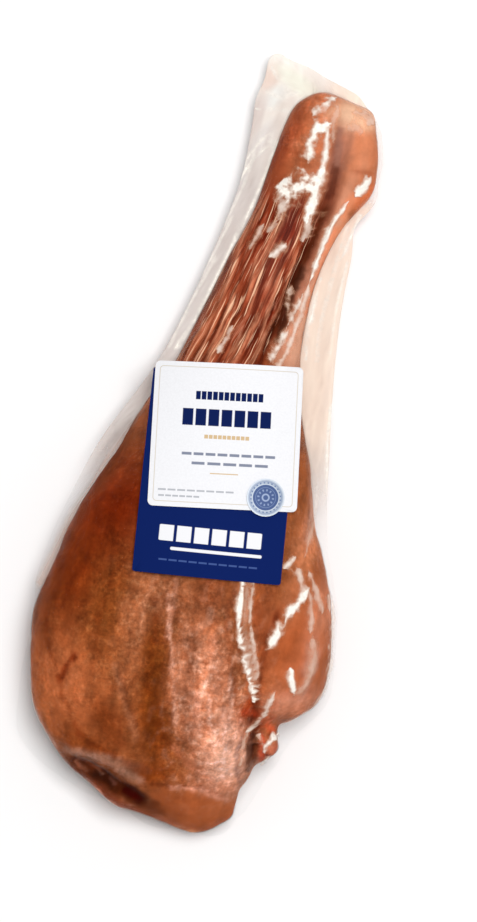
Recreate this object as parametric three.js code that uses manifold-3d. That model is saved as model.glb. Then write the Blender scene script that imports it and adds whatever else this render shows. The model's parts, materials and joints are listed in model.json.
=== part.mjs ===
// Cured leg of lamb, vacuum packed: one bone-in leg between two sheets of clear film that are welded
// together round it, with a blue backing label, a white front label and a round foil seal on top.
// Millimetres, +Z up. The leg lies on its flat side with the shank towards +Y. The origin is under the
// middle of the pack, on the surface it rests on.
import * as THREE from "three";
import { mergeVertices } from "three/addons/utils/BufferGeometryUtils.js";
import Module from "manifold-3d";

const wasm = await Module();
wasm.setup();

// ---- Driving dimensions ----
const FILM = 0.5; // thickness of each film
const GAP = 0.5; // clearance between pieces that touch
const PAPER = 0.4; // thickness of a label
const SIDE_STEPS = 14; // facets over the top of the leg, and as many underneath
const ROUNDNESS = 0.87; // power of sine and cosine in a section: 1 is an ellipse, less is squarer
const UNDERSIDE = { power: 0.7, spread: 1.12 }; // how far the flat of the underside spreads
const WELD_SPREAD = 1.0; // from the leg's edge to the wall of film that rises beside it
const FLAP_DROOP = 0.88; // height of the flap's free edge as a share of the weld's height
const LABEL_LIFT = 1.3; // from the film's crown to the underside of the backing label
const BASE = GAP + FILM; // the leg's flat underside, above the surface it rests on

// Cross-sections from the rump to the hock: the leg's left edge x, y and right edge x, y, the pouch's
// cut edge beside them x, y and x, y, and the heights of the crown, widest level and underside.
const SECTIONS = [
  { leg: [8, -223, 38, -220], pouch: [-6, -225, 45, -222], levels: [28, 18, 7] },
  { leg: [-30, -211, 46, -206], pouch: [-34, -216, 54, -207], levels: [48, 22, BASE] },
  { leg: [-58, -192, 52, -186], pouch: [-65, -203, 61, -188], levels: [62, 26, BASE] },
  { leg: [-76, -172, 64, -169], pouch: [-85, -187, 70, -170], levels: [71, 28, BASE] },
  { leg: [-82, -153, 64, -156], pouch: [-88, -166, 74, -158], levels: [77, 30, BASE] },
  { leg: [-86, -130, 81, -142], pouch: [-90, -135, 88, -141], levels: [81, 32, BASE] },
  { leg: [-86, -108, 87, -122], pouch: [-91, -110, 91, -122], levels: [84, 32, BASE] },
  { leg: [-80, -76, 81, -80], pouch: [-88, -77, 86, -80], levels: [85, 32, BASE] },
  { leg: [-71, -36, 65, -42], pouch: [-77, -37, 71, -42], levels: [80, 30, BASE] },
  { leg: [-57, -2, 54, 0], pouch: [-66, -5, 65, 0], levels: [71, 27, BASE] },
  { leg: [-34, 38, 40, 38], pouch: [-44, 38, 60, 38], levels: [58, 23, BASE] },
  { leg: [-18, 88, 37, 88], pouch: [-29, 86, 56, 88], levels: [46, 21, BASE] },
  { leg: [-5, 132, 45, 130], pouch: [-18, 133, 58, 132], levels: [42, 20, BASE] },
  { leg: [1, 160, 60, 154], pouch: [-14, 160, 67, 153], levels: [44, 20, BASE] },
  { leg: [4, 185, 62, 180], pouch: [-14, 185, 67, 180], levels: [46, 20, BASE] },
  { leg: [9, 203, 53, 202], pouch: [-12, 210, 59, 203], levels: [41, 19, 2] },
  { leg: [17, 209, 42, 208], pouch: [-9, 221, 45, 213], levels: [33, 18, 7] },
];
const RUMP_TIP = [26, -225, 16];
const HOCK_TIP = [29, 211, 18];

// The pouch past the leg's two ends, left x, y and right x, y: beside the tip, then the cut edge.
const RUMP_FLAP = [[2, -227, 41, -225], [10, -228, 34, -228]];
const HOCK_FLAP = [[-6, 226, 39, 215], [-4, 228, 30, 218]];

// Hollows between the muscles: a line of points x, y, with the depth and half-width of the hollow.
const HOLLOWS = [
  { line: [[37, 178], [38, 150], [32, 116], [26, 89], [18, 52], [12, 40]], depth: 7, half: 5 },
  { line: [[60, -78], [54, -95], [46, -118], [48, -150], [52, -170]], depth: 6, half: 8 },
  { line: [[-12, -80], [-10, -125], [-2, -160], [14, -190]], depth: 6, half: 16 },
];

// Labels: centre x, y, size across and along seen from above, corner radius and turn in degrees.
const BACKING = { x: 2.3, y: -18.5, across: 84.5, along: 117, corner: 1.5, turn: 4.6 };
const FRONT = { x: 3.5, y: 4.5, across: 85, along: 83, corner: 3, turn: 7.4 };
const SEAL = { x: 32, y: -26, radius: 10.8 };
const PATCH = { left: -60, right: 60, bottom: -90, top: 60, spacing: 10 }; // grid of a label's facets
const BEND = { y: [-80, 50], curve: [0.003, 0.006] }; // how hard a label bends over the leg, per mm

const lerp = THREE.MathUtils.lerp;

// ---- Helpers for closed solids ----
function geometryOf(points, triangles) {
  const geometry = new THREE.BufferGeometry();
  geometry.setAttribute("position", new THREE.Float32BufferAttribute(points.flat(), 3));
  geometry.setIndex(triangles.flat());
  const faceted = geometry.toNonIndexed();
  faceted.computeVertexNormals();
  return faceted;
}

function solidOf(geometry) {
  const bare = geometry.clone();
  for (const name of Object.keys(bare.attributes)) {
    if (name !== "position") bare.deleteAttribute(name);
  }
  const merged = mergeVertices(bare, 1e-4);
  return new wasm.Manifold(
    new wasm.Mesh({
      numProp: 3,
      vertProperties: new Float32Array(merged.attributes.position.array),
      triVerts: new Uint32Array(merged.index.array),
    }),
  );
}

function geometryFromSolid(solid) {
  const made = solid.getMesh();
  const points = [];
  for (let i = 0; i < made.numVert; i++) {
    points.push(Array.from(made.vertProperties.subarray(i * made.numProp, i * made.numProp + 3)));
  }
  const triangles = [];
  for (let i = 0; i < made.triVerts.length; i += 3) {
    triangles.push(Array.from(made.triVerts.subarray(i, i + 3)));
  }
  return geometryOf(points, triangles);
}

// A thin plate between two grids of points with the same rows and columns, upper above lower.
function plateBetween(upper, lower) {
  const rows = upper.length;
  const columns = upper[0].length;
  const at = (row, column, side) => (row * columns + column) * 2 + side;
  const points = upper.flatMap((row, i) => row.flatMap((point, j) => [point, lower[i][j]]));
  const triangles = [];
  const quad = (a, b, c, d) => triangles.push([a, b, c], [a, c, d]);
  for (let i = 0; i < rows - 1; i++) {
    for (let j = 0; j < columns - 1; j++) {
      quad(at(i, j, 0), at(i, j + 1, 0), at(i + 1, j + 1, 0), at(i + 1, j, 0));
      quad(at(i, j, 1), at(i + 1, j, 1), at(i + 1, j + 1, 1), at(i, j + 1, 1));
    }
    quad(at(i, 0, 0), at(i + 1, 0, 0), at(i + 1, 0, 1), at(i, 0, 1));
    const last = columns - 1;
    quad(at(i + 1, last, 0), at(i, last, 0), at(i, last, 1), at(i + 1, last, 1));
  }
  for (let j = 0; j < columns - 1; j++) {
    quad(at(0, j + 1, 0), at(0, j, 0), at(0, j, 1), at(0, j + 1, 1));
    const last = rows - 1;
    quad(at(last, j, 0), at(last, j + 1, 0), at(last, j + 1, 1), at(last, j, 1));
  }
  return geometryOf(points, triangles);
}

// ---- The leg's surface ----
// A row halfway between b and c, on the smooth curve through four rows of numbers.
const midway = (a, b, c, d) => b.map((_, i) => (9 * (b[i] + c[i]) - a[i] - d[i]) / 16);

// Twice as many sections, with a smooth one between each pair.
function refine(rows) {
  const at = (index) => rows[THREE.MathUtils.clamp(index, 0, rows.length - 1)];
  return rows.flatMap((row, i) =>
    i === rows.length - 1 ? [row] : [row, midway(at(i - 1), row, at(i + 1), at(i + 2))],
  );
}

const legEdges = refine(SECTIONS.map(({ leg }) => leg));
const pouchEdges = refine(SECTIONS.map(({ pouch }) => pouch));
const levels = refine(SECTIONS.map((section) => section.levels));

// side is 1 for the top and -1 for the underside; angle runs from 0 at the right edge to PI at the left.
function legPoint(row, angle, side) {
  const [leftX, leftY, rightX, rightY] = legEdges[row];
  const [crown, widest, under] = levels[row];
  const middle = [(leftX + rightX) / 2, (leftY + rightY) / 2];
  const edge = Math.cos(angle) > 0 ? [rightX, rightY] : [leftX, leftY];
  const reach = Math.abs(Math.cos(angle)) ** ROUNDNESS;
  const rise =
    side > 0
      ? (crown - widest) * Math.sin(angle) ** ROUNDNESS
      : (Math.max(under, BASE) - widest) *
        Math.min(1, UNDERSIDE.spread * Math.sin(angle) ** UNDERSIDE.power);
  return [lerp(middle[0], edge[0], reach), lerp(middle[1], edge[1], reach), widest + rise];
}

// Distance in plan from a point to a line of points.
function distanceTo(line, x, y) {
  const point = new THREE.Vector3(x, y, 0);
  const near = new THREE.Vector3();
  let best = Infinity;
  for (let i = 0; i < line.length - 1; i++) {
    const stretch = new THREE.Line3(
      new THREE.Vector3(...line[i], 0),
      new THREE.Vector3(...line[i + 1], 0),
    );
    stretch.closestPointToPoint(point, true, near);
    best = Math.min(best, near.distanceTo(point));
  }
  return best;
}

function hollowAt(x, y) {
  let depth = 0;
  for (const hollow of HOLLOWS) {
    const away = distanceTo(hollow.line, x, y) / hollow.half;
    depth = Math.max(depth, hollow.depth * Math.exp(-away * away));
  }
  return depth;
}

// Rows of points round each section, right edge first, over the top and back below.
const roundSteps = 2 * SIDE_STEPS;
const rings = legEdges.map((_, row) =>
  Array.from({ length: roundSteps }, (_, step) => {
    const onTop = step <= SIDE_STEPS;
    const angle = (Math.PI * (onTop ? step : roundSteps - step)) / SIDE_STEPS;
    return legPoint(row, Math.min(angle, Math.PI), onTop ? 1 : -1);
  }),
);

// Outward normals of the leg's smooth surface, from the points on each side.
function normalAt(row, step) {
  const along = (index) => {
    if (index < 0) return RUMP_TIP;
    if (index >= rings.length) return HOCK_TIP;
    return rings[index][step];
  };
  const ring = rings[row];
  const ahead = new THREE.Vector3(...along(row + 1)).sub(new THREE.Vector3(...along(row - 1)));
  const next = new THREE.Vector3(...ring[(step + 1) % roundSteps]);
  const around = next.sub(new THREE.Vector3(...ring[(step + roundSteps - 1) % roundSteps]));
  return ahead.cross(around).normalize();
}

function offsetPoint(row, step, distance) {
  const moved = normalAt(row, step).multiplyScalar(distance);
  return moved.add(new THREE.Vector3(...rings[row][step])).toArray();
}

function legGeometry() {
  const points = [RUMP_TIP, HOCK_TIP];
  rings.forEach((ring) =>
    ring.forEach(([x, y, z], step) => {
      const onTop = step > 1 && step < SIDE_STEPS - 1;
      points.push([x, y, onTop ? z - hollowAt(x, y) : z]);
    }),
  );
  const at = (row, step) => 2 + row * roundSteps + (step % roundSteps);
  const triangles = [];
  const lastRow = rings.length - 1;
  for (let step = 0; step < roundSteps; step++) {
    triangles.push([0, at(0, step), at(0, step + 1)]);
    triangles.push([1, at(lastRow, step + 1), at(lastRow, step)]);
    for (let row = 0; row < lastRow; row++) {
      triangles.push([at(row, step), at(row + 1, step + 1), at(row, step + 1)]);
      triangles.push([at(row, step), at(row + 1, step), at(row + 1, step + 1)]);
    }
  }
  return geometryOf(points, triangles);
}

// ---- The two films ----
// Plan position of the weld line beside the leg: the leg's edge, moved out by spread.
function besideLeg(row, step, spread) {
  const [x, y, z] = rings[row][step];
  const normal = normalAt(row, step).setZ(0).normalize();
  return [x + normal.x * spread, y + normal.y * spread, z];
}

// One row of a film from the left edge of the pouch to the right. side is 1 for the front film, and
// away is the distance from the leg's surface, which is larger on the film's outer face.
function filmRow(row, side, away) {
  const [pouchLeftX, pouchLeftY, pouchRightX, pouchRightY] = pouchEdges[row];
  const lift = side * (away - GAP / 2);
  const level = rings[row][0][2];
  const wall = WELD_SPREAD + away - GAP;
  const left = besideLeg(row, SIDE_STEPS, wall);
  const right = besideLeg(row, 0, wall);
  const flap = (x, y, weld, share) => [
    lerp(weld[0], x, share),
    lerp(weld[1], y, share),
    level * lerp(1, FLAP_DROOP, share) + lift,
  ];
  const points = [flap(pouchLeftX, pouchLeftY, left, 1), flap(pouchLeftX, pouchLeftY, left, 0.5)];
  points.push(flap(pouchLeftX, pouchLeftY, left, 0));
  for (let k = 1; k < SIDE_STEPS; k++) {
    const step = side > 0 ? SIDE_STEPS - k : SIDE_STEPS + k;
    points.push(offsetPoint(row, step, away));
  }
  for (const share of [0, 0.5, 1]) points.push(flap(pouchRightX, pouchRightY, right, share));
  return points;
}

// The two rows of film past one end of the leg: one close round the tip, then the cut edge.
function endRows(flap, tip, side, away) {
  const lift = side * (away - GAP / 2);
  const clearance = Math.sign(tip[1]) * (WELD_SPREAD + away);
  const columns = SIDE_STEPS + 5;
  const shares = Array.from({ length: columns }, (_, column) => column / (columns - 1));
  const [[leftX, leftY, rightX, rightY], [cutLeftX, cutLeftY, cutRightX, cutRightY]] = flap;
  const close = shares.map((share) => {
    const pull = Math.sin(Math.PI * share) ** 0.6;
    const x = lerp(lerp(leftX, rightX, share), tip[0] + (share - 0.5) * 14, pull);
    return [x, lerp(lerp(leftY, rightY, share), tip[1] + clearance, pull), tip[2] + lift];
  });
  const cut = shares.map((share) => [
    lerp(cutLeftX, cutRightX, share),
    lerp(cutLeftY, cutRightY, share),
    tip[2] * FLAP_DROOP + lift,
  ]);
  return [close, cut];
}

function filmGrid(side, away) {
  return [
    ...endRows(RUMP_FLAP, RUMP_TIP, side, away).reverse(),
    ...rings.map((_, row) => filmRow(row, side, away)),
    ...endRows(HOCK_FLAP, HOCK_TIP, side, away),
  ];
}

function filmGeometry(side) {
  const outer = filmGrid(side, GAP + FILM);
  const inner = filmGrid(side, GAP);
  return side > 0 ? plateBetween(outer, inner) : plateBetween(inner, outer);
}

// ---- Labels ----
// Height and middle of the leg's crown at a place along it.
function crownAt(y) {
  const crowns = legEdges.map(([lx, ly, rx, ry], row) => [(ly + ry) / 2, (lx + rx) / 2, levels[row][0]]);
  const next = Math.max(1, crowns.findIndex(([middleY]) => middleY > y));
  const [y0, x0, z0] = crowns[next - 1];
  const [y1, x1, z1] = crowns[next];
  const share = (y - y0) / (y1 - y0);
  return { x: lerp(x0, x1, share), z: lerp(z0, z1, share) };
}

// Height of the surface that a label lies in: it follows the crown and bends down to both sides.
function labelLevel(x, y) {
  const crown = crownAt(y);
  const share = THREE.MathUtils.inverseLerp(BEND.y[0], BEND.y[1], y);
  const curve = lerp(BEND.curve[0], BEND.curve[1], THREE.MathUtils.clamp(share, 0, 1));
  return crown.z + BASE + LABEL_LIFT - curve * (x - crown.x) ** 2;
}

// A bent sheet of paper over a large patch, cut to an upright prism of the label's outline.
function cutLabel(outline, place, lift) {
  const columns = (PATCH.right - PATCH.left) / PATCH.spacing;
  const rows = (PATCH.top - PATCH.bottom) / PATCH.spacing;
  const grid = (extra) =>
    Array.from({ length: rows + 1 }, (_, i) =>
      Array.from({ length: columns + 1 }, (_, j) => {
        const x = PATCH.left + j * PATCH.spacing;
        const y = PATCH.bottom + i * PATCH.spacing;
        return [x, y, labelLevel(x, y) + lift + extra];
      }),
    );
  const sheet = solidOf(plateBetween(grid(PAPER), grid(0)));
  const prism = new THREE.ExtrudeGeometry(outline, { depth: 200, bevelEnabled: false, curveSegments: 4 });
  prism.rotateZ(THREE.MathUtils.degToRad(place.turn ?? 0));
  prism.translate(place.x, place.y, 0);
  return geometryFromSolid(sheet.intersect(solidOf(prism)));
}

function roundedRectangle({ across, along, corner }) {
  const [w, h, r] = [across / 2, along / 2, corner];
  const shape = new THREE.Shape();
  shape.moveTo(w, r - h);
  shape.lineTo(w, h - r);
  shape.absarc(w - r, h - r, r, 0, Math.PI / 2);
  shape.lineTo(r - w, h);
  shape.absarc(r - w, h - r, r, Math.PI / 2, Math.PI);
  shape.lineTo(-w, r - h);
  shape.absarc(r - w, r - h, r, Math.PI, 1.5 * Math.PI);
  shape.lineTo(w - r, -h);
  shape.absarc(w - r, r - h, r, 1.5 * Math.PI, 2 * Math.PI);
  return shape;
}

function discOutline(radius, sides) {
  const corner = (_, i) => {
    const angle = (2 * Math.PI * i) / sides;
    return new THREE.Vector2(radius * Math.cos(angle), radius * Math.sin(angle));
  };
  return new THREE.Shape(Array.from({ length: sides }, corner));
}

// ---- Assembly ----
const material = (colour, roughness, metalness, opacity = 1) =>
  new THREE.MeshStandardMaterial({
    color: colour,
    roughness,
    metalness,
    opacity,
    transparent: opacity < 1,
    flatShading: true,
  });

const part = new THREE.Group();
function add(name, geometry, finish) {
  const mesh = new THREE.Mesh(geometry, finish);
  mesh.name = name;
  part.add(mesh);
}

const film = material(0xe9ddd4, 0.15, 0, 0.3);
const paper = material(0xf7f7f6, 0.55, 0);
const blue = material(0x06205c, 0.45, 0);
const foil = material(0xa6b3c0, 0.3, 0.8);
const nextLayer = PAPER + GAP;
add("cured_leg", legGeometry(), material(0x9a4f26, 0.45, 0));
add("pouch_front_film", filmGeometry(1), film);
add("pouch_back_film", filmGeometry(-1), film);
add("backing_label", cutLabel(roundedRectangle(BACKING), BACKING, 0), blue);
add("front_label", cutLabel(roundedRectangle(FRONT), FRONT, nextLayer), paper);
add("foil_seal", cutLabel(discOutline(SEAL.radius, 32), SEAL, 2 * nextLayer), foil);

export default part;
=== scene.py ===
# %% [markdown]
# # A vacuum-packed cured leg of lamb
#
# A whole bone-in leg, dry-cured until the meat is rust brown, lies in a clear pouch with the air drawn
# out. The film clings to every hollow of the meat, so most of what the eye reads as "meat" is the shine
# and the creases of the film over it. On top lie three flat things: a dark blue backing label, a white
# front label and a round foil seal.
#
# The order of work is: shape the meat, colour it, stretch the two films over it, copy the labels, then
# give each piece its finish, and last set the light and the camera.

import json
import math

import bmesh
import bpy
import numpy as np
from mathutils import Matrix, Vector, noise
from mathutils.bvhtree import BVHTree

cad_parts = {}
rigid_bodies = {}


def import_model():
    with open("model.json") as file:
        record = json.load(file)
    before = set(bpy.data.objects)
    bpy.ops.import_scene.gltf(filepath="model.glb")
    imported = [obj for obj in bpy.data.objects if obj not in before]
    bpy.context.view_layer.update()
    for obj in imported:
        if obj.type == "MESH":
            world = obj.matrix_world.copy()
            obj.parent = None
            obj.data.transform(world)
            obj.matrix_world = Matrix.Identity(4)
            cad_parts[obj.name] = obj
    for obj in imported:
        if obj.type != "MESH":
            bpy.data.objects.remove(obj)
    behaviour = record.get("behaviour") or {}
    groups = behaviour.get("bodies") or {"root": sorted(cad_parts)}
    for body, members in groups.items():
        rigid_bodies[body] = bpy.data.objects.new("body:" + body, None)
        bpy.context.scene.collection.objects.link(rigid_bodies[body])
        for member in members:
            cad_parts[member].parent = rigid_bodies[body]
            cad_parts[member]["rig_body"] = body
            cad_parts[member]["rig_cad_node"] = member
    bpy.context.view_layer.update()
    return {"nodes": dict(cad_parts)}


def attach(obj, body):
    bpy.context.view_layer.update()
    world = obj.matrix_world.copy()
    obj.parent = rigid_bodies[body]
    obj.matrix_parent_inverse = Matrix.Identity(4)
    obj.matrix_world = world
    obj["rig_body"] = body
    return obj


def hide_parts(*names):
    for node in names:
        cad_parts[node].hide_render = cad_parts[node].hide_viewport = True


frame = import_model()
nodes = frame["nodes"]
MM = 0.001
print("solid parts:", ", ".join(sorted(nodes)))

# %% [markdown]
# ## Small tools
#
# Every piece starts from a copy of its solid, so that it lies exactly where the solid lies. Shapes are
# then pushed about by functions of place, worked out in millimetres for all the points at once.


# %% Tools for copying a solid
def select_only(piece):
    """Select one piece and nothing else, and make it the active one."""
    bpy.ops.object.select_all(action="DESELECT")
    piece.select_set(True)
    bpy.context.view_layer.objects.active = piece


def copy_of(node, name):
    """A copy of a solid with its doubled points merged, free to be reshaped."""
    select_only(nodes[node])
    bpy.ops.object.duplicate()
    piece = bpy.context.object
    piece.name = piece.data.name = name
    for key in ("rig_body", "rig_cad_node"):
        if key in piece:
            del piece[key]
    bpy.ops.object.parent_clear(type="CLEAR_KEEP_TRANSFORM")
    bpy.ops.object.mode_set(mode="EDIT")
    bpy.ops.mesh.select_all(action="SELECT")
    bpy.ops.mesh.remove_doubles(threshold=0.01 * MM)
    bpy.ops.object.mode_set(mode="OBJECT")
    return piece


def apply_modifier(piece, kind, **settings):
    """Add a modifier, set it and apply it at once."""
    select_only(piece)
    bpy.ops.object.modifier_add(type=kind)
    modifier = piece.modifiers[-1]
    for key, value in settings.items():
        setattr(modifier, key, value)
    bpy.ops.object.modifier_apply(modifier=modifier.name)


# %% Tools for reading and moving a piece's points
def points_of(piece):
    """Every point of a piece, in millimetres."""
    flat = np.empty(len(piece.data.vertices) * 3)
    piece.data.vertices.foreach_get("co", flat)
    return flat.reshape(-1, 3) / MM


def set_points(piece, points):
    piece.data.vertices.foreach_set("co", (points * MM).ravel())
    piece.data.update()


def normals_of(piece):
    flat = np.empty(len(piece.data.vertices) * 3, np.float32)
    piece.data.vertex_normals.foreach_get("vector", flat)
    return flat.reshape(-1, 3).astype(float)


def edges_of(piece):
    flat = np.empty(len(piece.data.edges) * 2, np.int32)
    piece.data.edges.foreach_get("vertices", flat)
    return flat.reshape(-1, 2)


def average_round(values, edges, count):
    """Each point's value averaged over its neighbours."""
    total = np.bincount(edges[:, 0], values[edges[:, 1]], count)
    total += np.bincount(edges[:, 1], values[edges[:, 0]], count)
    return total / np.maximum(np.bincount(edges.ravel(), minlength=count), 1)


def smoothed(values, edges, rounds):
    """Values drawn towards those of their neighbours, again and again."""
    for _ in range(rounds):
        values = 0.4 * values + 0.6 * average_round(values, edges, len(values))
    return values


# %% Tools for lines, ovals and pulls
def near_line(line, x, y):
    """Distance in plan from each place to a line of points, signed positive to its right, and how
    far along it, 0 to 1, the nearest place is."""
    line = np.array(line, float)
    steps = np.diff(line, axis=0)
    lengths = np.hypot(*steps.T)
    before = np.concatenate([[0], np.cumsum(lengths)])
    best = np.full(len(x), np.inf)
    signed, along = np.zeros(len(x)), np.zeros(len(x))
    for (x0, y0), (dx, dy), length, start in zip(line, steps, lengths, before):
        t = np.clip(((x - x0) * dx + (y - y0) * dy) / length**2, 0, 1)
        away = np.hypot(x - x0 - t * dx, y - y0 - t * dy)
        side = np.sign((x - x0) * dy - (y - y0) * dx)
        closer = away < best
        best = np.where(closer, away, best)
        signed = np.where(closer, away * side, signed)
        along = np.where(closer, (start + t * length) / before[-1], along)
    return signed, along


def ease(low, high, value):
    """A smooth rise from 0 at low to 1 at high."""
    t = np.clip((value - low) / (high - low), 0, 1)
    return t * t * (3 - 2 * t)


def tapered(along, share):
    """1 along the middle of a line, falling to 0 over the given share of it at each end."""
    return ease(0, share, along) * ease(0, share, 1 - along)


def in_patch(x, y, centre_x, centre_y, long, wide, turn, crisp):
    """How far inside an oval each place is, 0 to 1: its half-widths along and across, its turn in
    degrees, and how crisp its edge is."""
    c, s = math.cos(math.radians(turn)), math.sin(math.radians(turn))
    along = (x - centre_x) * c + (y - centre_y) * s
    aside = (y - centre_y) * c - (x - centre_x) * s
    return np.exp(-(((along / long) ** 2 + (aside / wide) ** 2) ** crisp))


def pulled(points, pulls):
    """Points dragged bodily: each pull has a centre in plan, a reach, and a drag across, along and up."""
    x, y, _ = points.T
    for (centre_x, centre_y), reach, drag in pulls:
        share = np.exp(-((x - centre_x) ** 2 + (y - centre_y) ** 2) / reach**2)
        points = points + share[:, None] * np.array(drag)
    return points


# %% Tools for unevenness and colour
def rough(points, size, seed, stretch=(1, 1, 1), octaves=3):
    """Smooth random values between about -1 and 1 that change over the given size."""
    scaled = points / (size * np.array(stretch, float)) + 17.3 * seed
    return np.array([noise.fractal(p, 1.0, 2.1, octaves) for p in scaled])


def store(piece, name, values):
    """Keep a number for each point of a piece, for its material to read."""
    layer = piece.data.attributes.new(name, "FLOAT", "POINT")
    layer.data.foreach_set("value", np.asarray(values, np.float32))


def store_colour(piece, name, colours):
    layer = piece.data.attributes.new(name, "FLOAT_COLOR", "POINT")
    alpha = np.ones((len(colours), 1))
    layer.data.foreach_set("color", np.hstack([colours, alpha]).astype(np.float32).ravel())


def linear(red, green, blue):
    """A colour given as 0 to 255 on a screen, as the share of light it stands for."""
    share = np.array([red, green, blue]) / 255
    return np.where(share <= 0.04045, share / 12.92, ((share + 0.055) / 1.055) ** 2.4)


def laid_over(under, colour, share):
    """A colour, given as 0 to 255, laid over others. share is how much of it shows at each point."""
    share = share[:, None]
    return under * (1 - share) + linear(*colour) * share


# %% [markdown]
# ## The meat
#
# The solid leg has broad facets. A subdivision surface rounds them, and a voxel remesh then gives an
# even skin of points a little over a millimetre apart, as a sculptor would start from. Then come three
# kinds of stroke. A pull drags the skin bodily, to square the hock or sharpen the rump's corner. A ridge
# raises or sinks the skin along a line. Strands are many short ridges laid along the shank by a loop,
# each a little different in length, width and place.

# %% Round the leg and give it an even skin
SKIN = 1.33  # spacing of the skin's points

leg = copy_of("cured_leg", "leg_meat")
apply_modifier(leg, "SUBSURF", levels=2, render_levels=2)
apply_modifier(leg, "REMESH", mode="VOXEL", voxel_size=SKIN * MM)
print("leg:", len(leg.data.vertices), "points")

# %% Pull the outline into shape
LEG_PULLS = [  # centre, reach, drag
    ((54, 205), 9, (2.2, 1.8, 0)),
    ((12, 207), 8, (0.6, -0.8, 0)),
    ((22, 212), 7, (0, 1.3, 0)),
    ((44, 206), 6, (0, -0.7, 0)),
    ((0, 160), 18, (-1.2, 0.4, 0)),
    ((-16, 110), 24, (-1.4, 0.4, 0)),
    ((64, 160), 9, (1.2, -0.8, 0)),
    ((62, -154), 5, (-2.0, 2.0, 0)),
    ((62, -168), 6, (2.2, -0.4, 1.0)),
    ((56, -182), 5, (-2.0, 1.6, 0)),
    ((47, -212), 6, (3.4, -3.4, 0)),
    ((52, -197), 5, (-1.6, 0.8, 0)),
    ((24, -226), 12, (0, -1.6, 0)),
    ((-22, -216), 13, (-1.6, -3.2, 0)),
    ((-60, -20), 28, (5.2, 0.6, 0)),
    ((-26, 68), 24, (-1.4, 0, 0)),
    ((76, -60), 22, (1.0, 0, 0)),
    ((-78, -170), 20, (-1.0, -0.8, 0)),
    ((-52, -198), 14, (-1.4, -1.6, 0)),
    ((-88, -118), 30, (-1.4, 0, 0)),
]
points = pulled(points_of(leg), LEG_PULLS)
set_points(leg, points)
print("made", len(LEG_PULLS), "pulls")

# %% [markdown]
# ### Muscles, tendon and crevice
#
# On the real leg the muscles part along long shallow grooves, a tendon runs from the hock down the bone,
# and the cut rump has dried into a crevice with a rim of fat. Each of these follows a line, so each is
# a line with a height and a half-width, and the skin moves outwards by the sum of them. A sculpting
# brush would do the same by hand, but a list of lines can be read and changed.

# %% Sculpt along the muscles
# Lines in plan, in millimetres, with the shank towards +y.
SHANK_LEFT = [(-46, 20), (-36, 38), (-27, 62), (-20, 88), (-13, 112), (-7, 132), (-3, 150), (1, 172)]
SHANK_GROOVE = [
    (10, 30), (17, 52), (23, 77), (28, 104), (33, 126), (36, 142), (38, 155), (38, 172), (35, 186),
]
TENDON = [(56, 158), (51, 146), (46, 134), (42, 121), (40, 108), (38, 93), (37, 81), (36, 67), (35, 50)]
RIDGES = [  # line, height (negative for a hollow), half-width
    (SHANK_GROOVE, -1.9, 3.4),
    ([(36, 194), (36, 184), (38, 171), (39, 158), (36, 146)], -1.0, 5.5),
    (TENDON, 2.0, 3.6),
    ([(22, 206), (17, 190), (14, 172)], 1.6, 9),
    ([(50, 203), (52, 186), (53, 168)], 1.8, 10),
    ([(29, 196), (30, 183), (31, 168), (30, 152), (28, 138)], 0.9, 2.0),
    ([(9, 158), (18, 158), (28, 160)], 0.8, 3.0),
    ([(24, -74), (27, -90), (31, -104), (38, -120), (44, -136)], -1.2, 5.0),
    ([(52, -80), (50, -96), (47, -112), (47, -130), (48, -144), (51, -158), (54, -175)], -2.0, 4.0),
    ([(-12, -84), (-10, -106), (-11, -127), (-8, -149), (-2, -169), (5, -186)], -2.2, 12),
    ([(-38, -128), (-31, -143), (-25, -156), (-20, -166), (-13, -180)], 1.3, 4.5),
    ([(-58, -132), (-63, -142), (-66, -152)], -1.5, 3.0),
    ([(-34, -70), (-40, -100), (-46, -130)], 1.6, 12),
    ([(24, -96), (22, -125), (30, -160), (36, -184)], 1.8, 12),
    ([(8, -90), (10, -120), (14, -150)], 0.8, 3.5),
    ([(-20, -76), (-24, -100), (-22, -120)], 0.7, 3.0),
    ([(-57, -189), (-46, -188), (-36, -188), (-26, -191), (-16, -197), (-6, -201)], 1.8, 3.4),
    ([(-50, -195), (-40, -197), (-30, -201), (-22, -205), (-13, -208), (-2, -213)], -3.4, 3.6),
    ([(-44, -204), (-34, -208), (-24, -213)], 1.0, 2.4),
    ([(-23, -216), (-15, -219), (-7, -220), (2, -222)], 1.2, 2.4),
    ([(-8, -201), (6, -199), (26, -197), (45, -203)], -0.7, 1.8),
    ([(58, -161), (61, -166), (60, -172)], 2.4, 3.6),
    ([(53, -166), (53, -173), (55, -180)], -2.2, 2.4),
    ([(63, -122), (67, -130), (71, -132), (74, -125), (75, -112), (72, -102)], 1.0, 2.6),
    ([(57, -135), (54, -147), (51, -156)], 0.9, 2.2),
    ([(46, -150), (49, -160), (48, -172)], -1.0, 2.6),
]

normals = normals_of(leg)
edges = edges_of(leg)
x, y, z = points.T
on_top = ease(0.05, 0.45, normals[:, 2])  # 1 on the upper side, 0 on steep flanks and below
push = np.zeros(len(points))  # how far each point moves outwards
for line, height, half in RIDGES:
    away, along = near_line(line, x, y)
    push += height * np.exp(-((away / half) ** 2)) * tapered(along, 0.15) * on_top
print("laid", len(RIDGES), "ridges and hollows")

# %% Lay the strands of the shank
STRANDS = 36
SHANK_SINK = 0.6  # how far the skin between the strands has dried in

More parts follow.
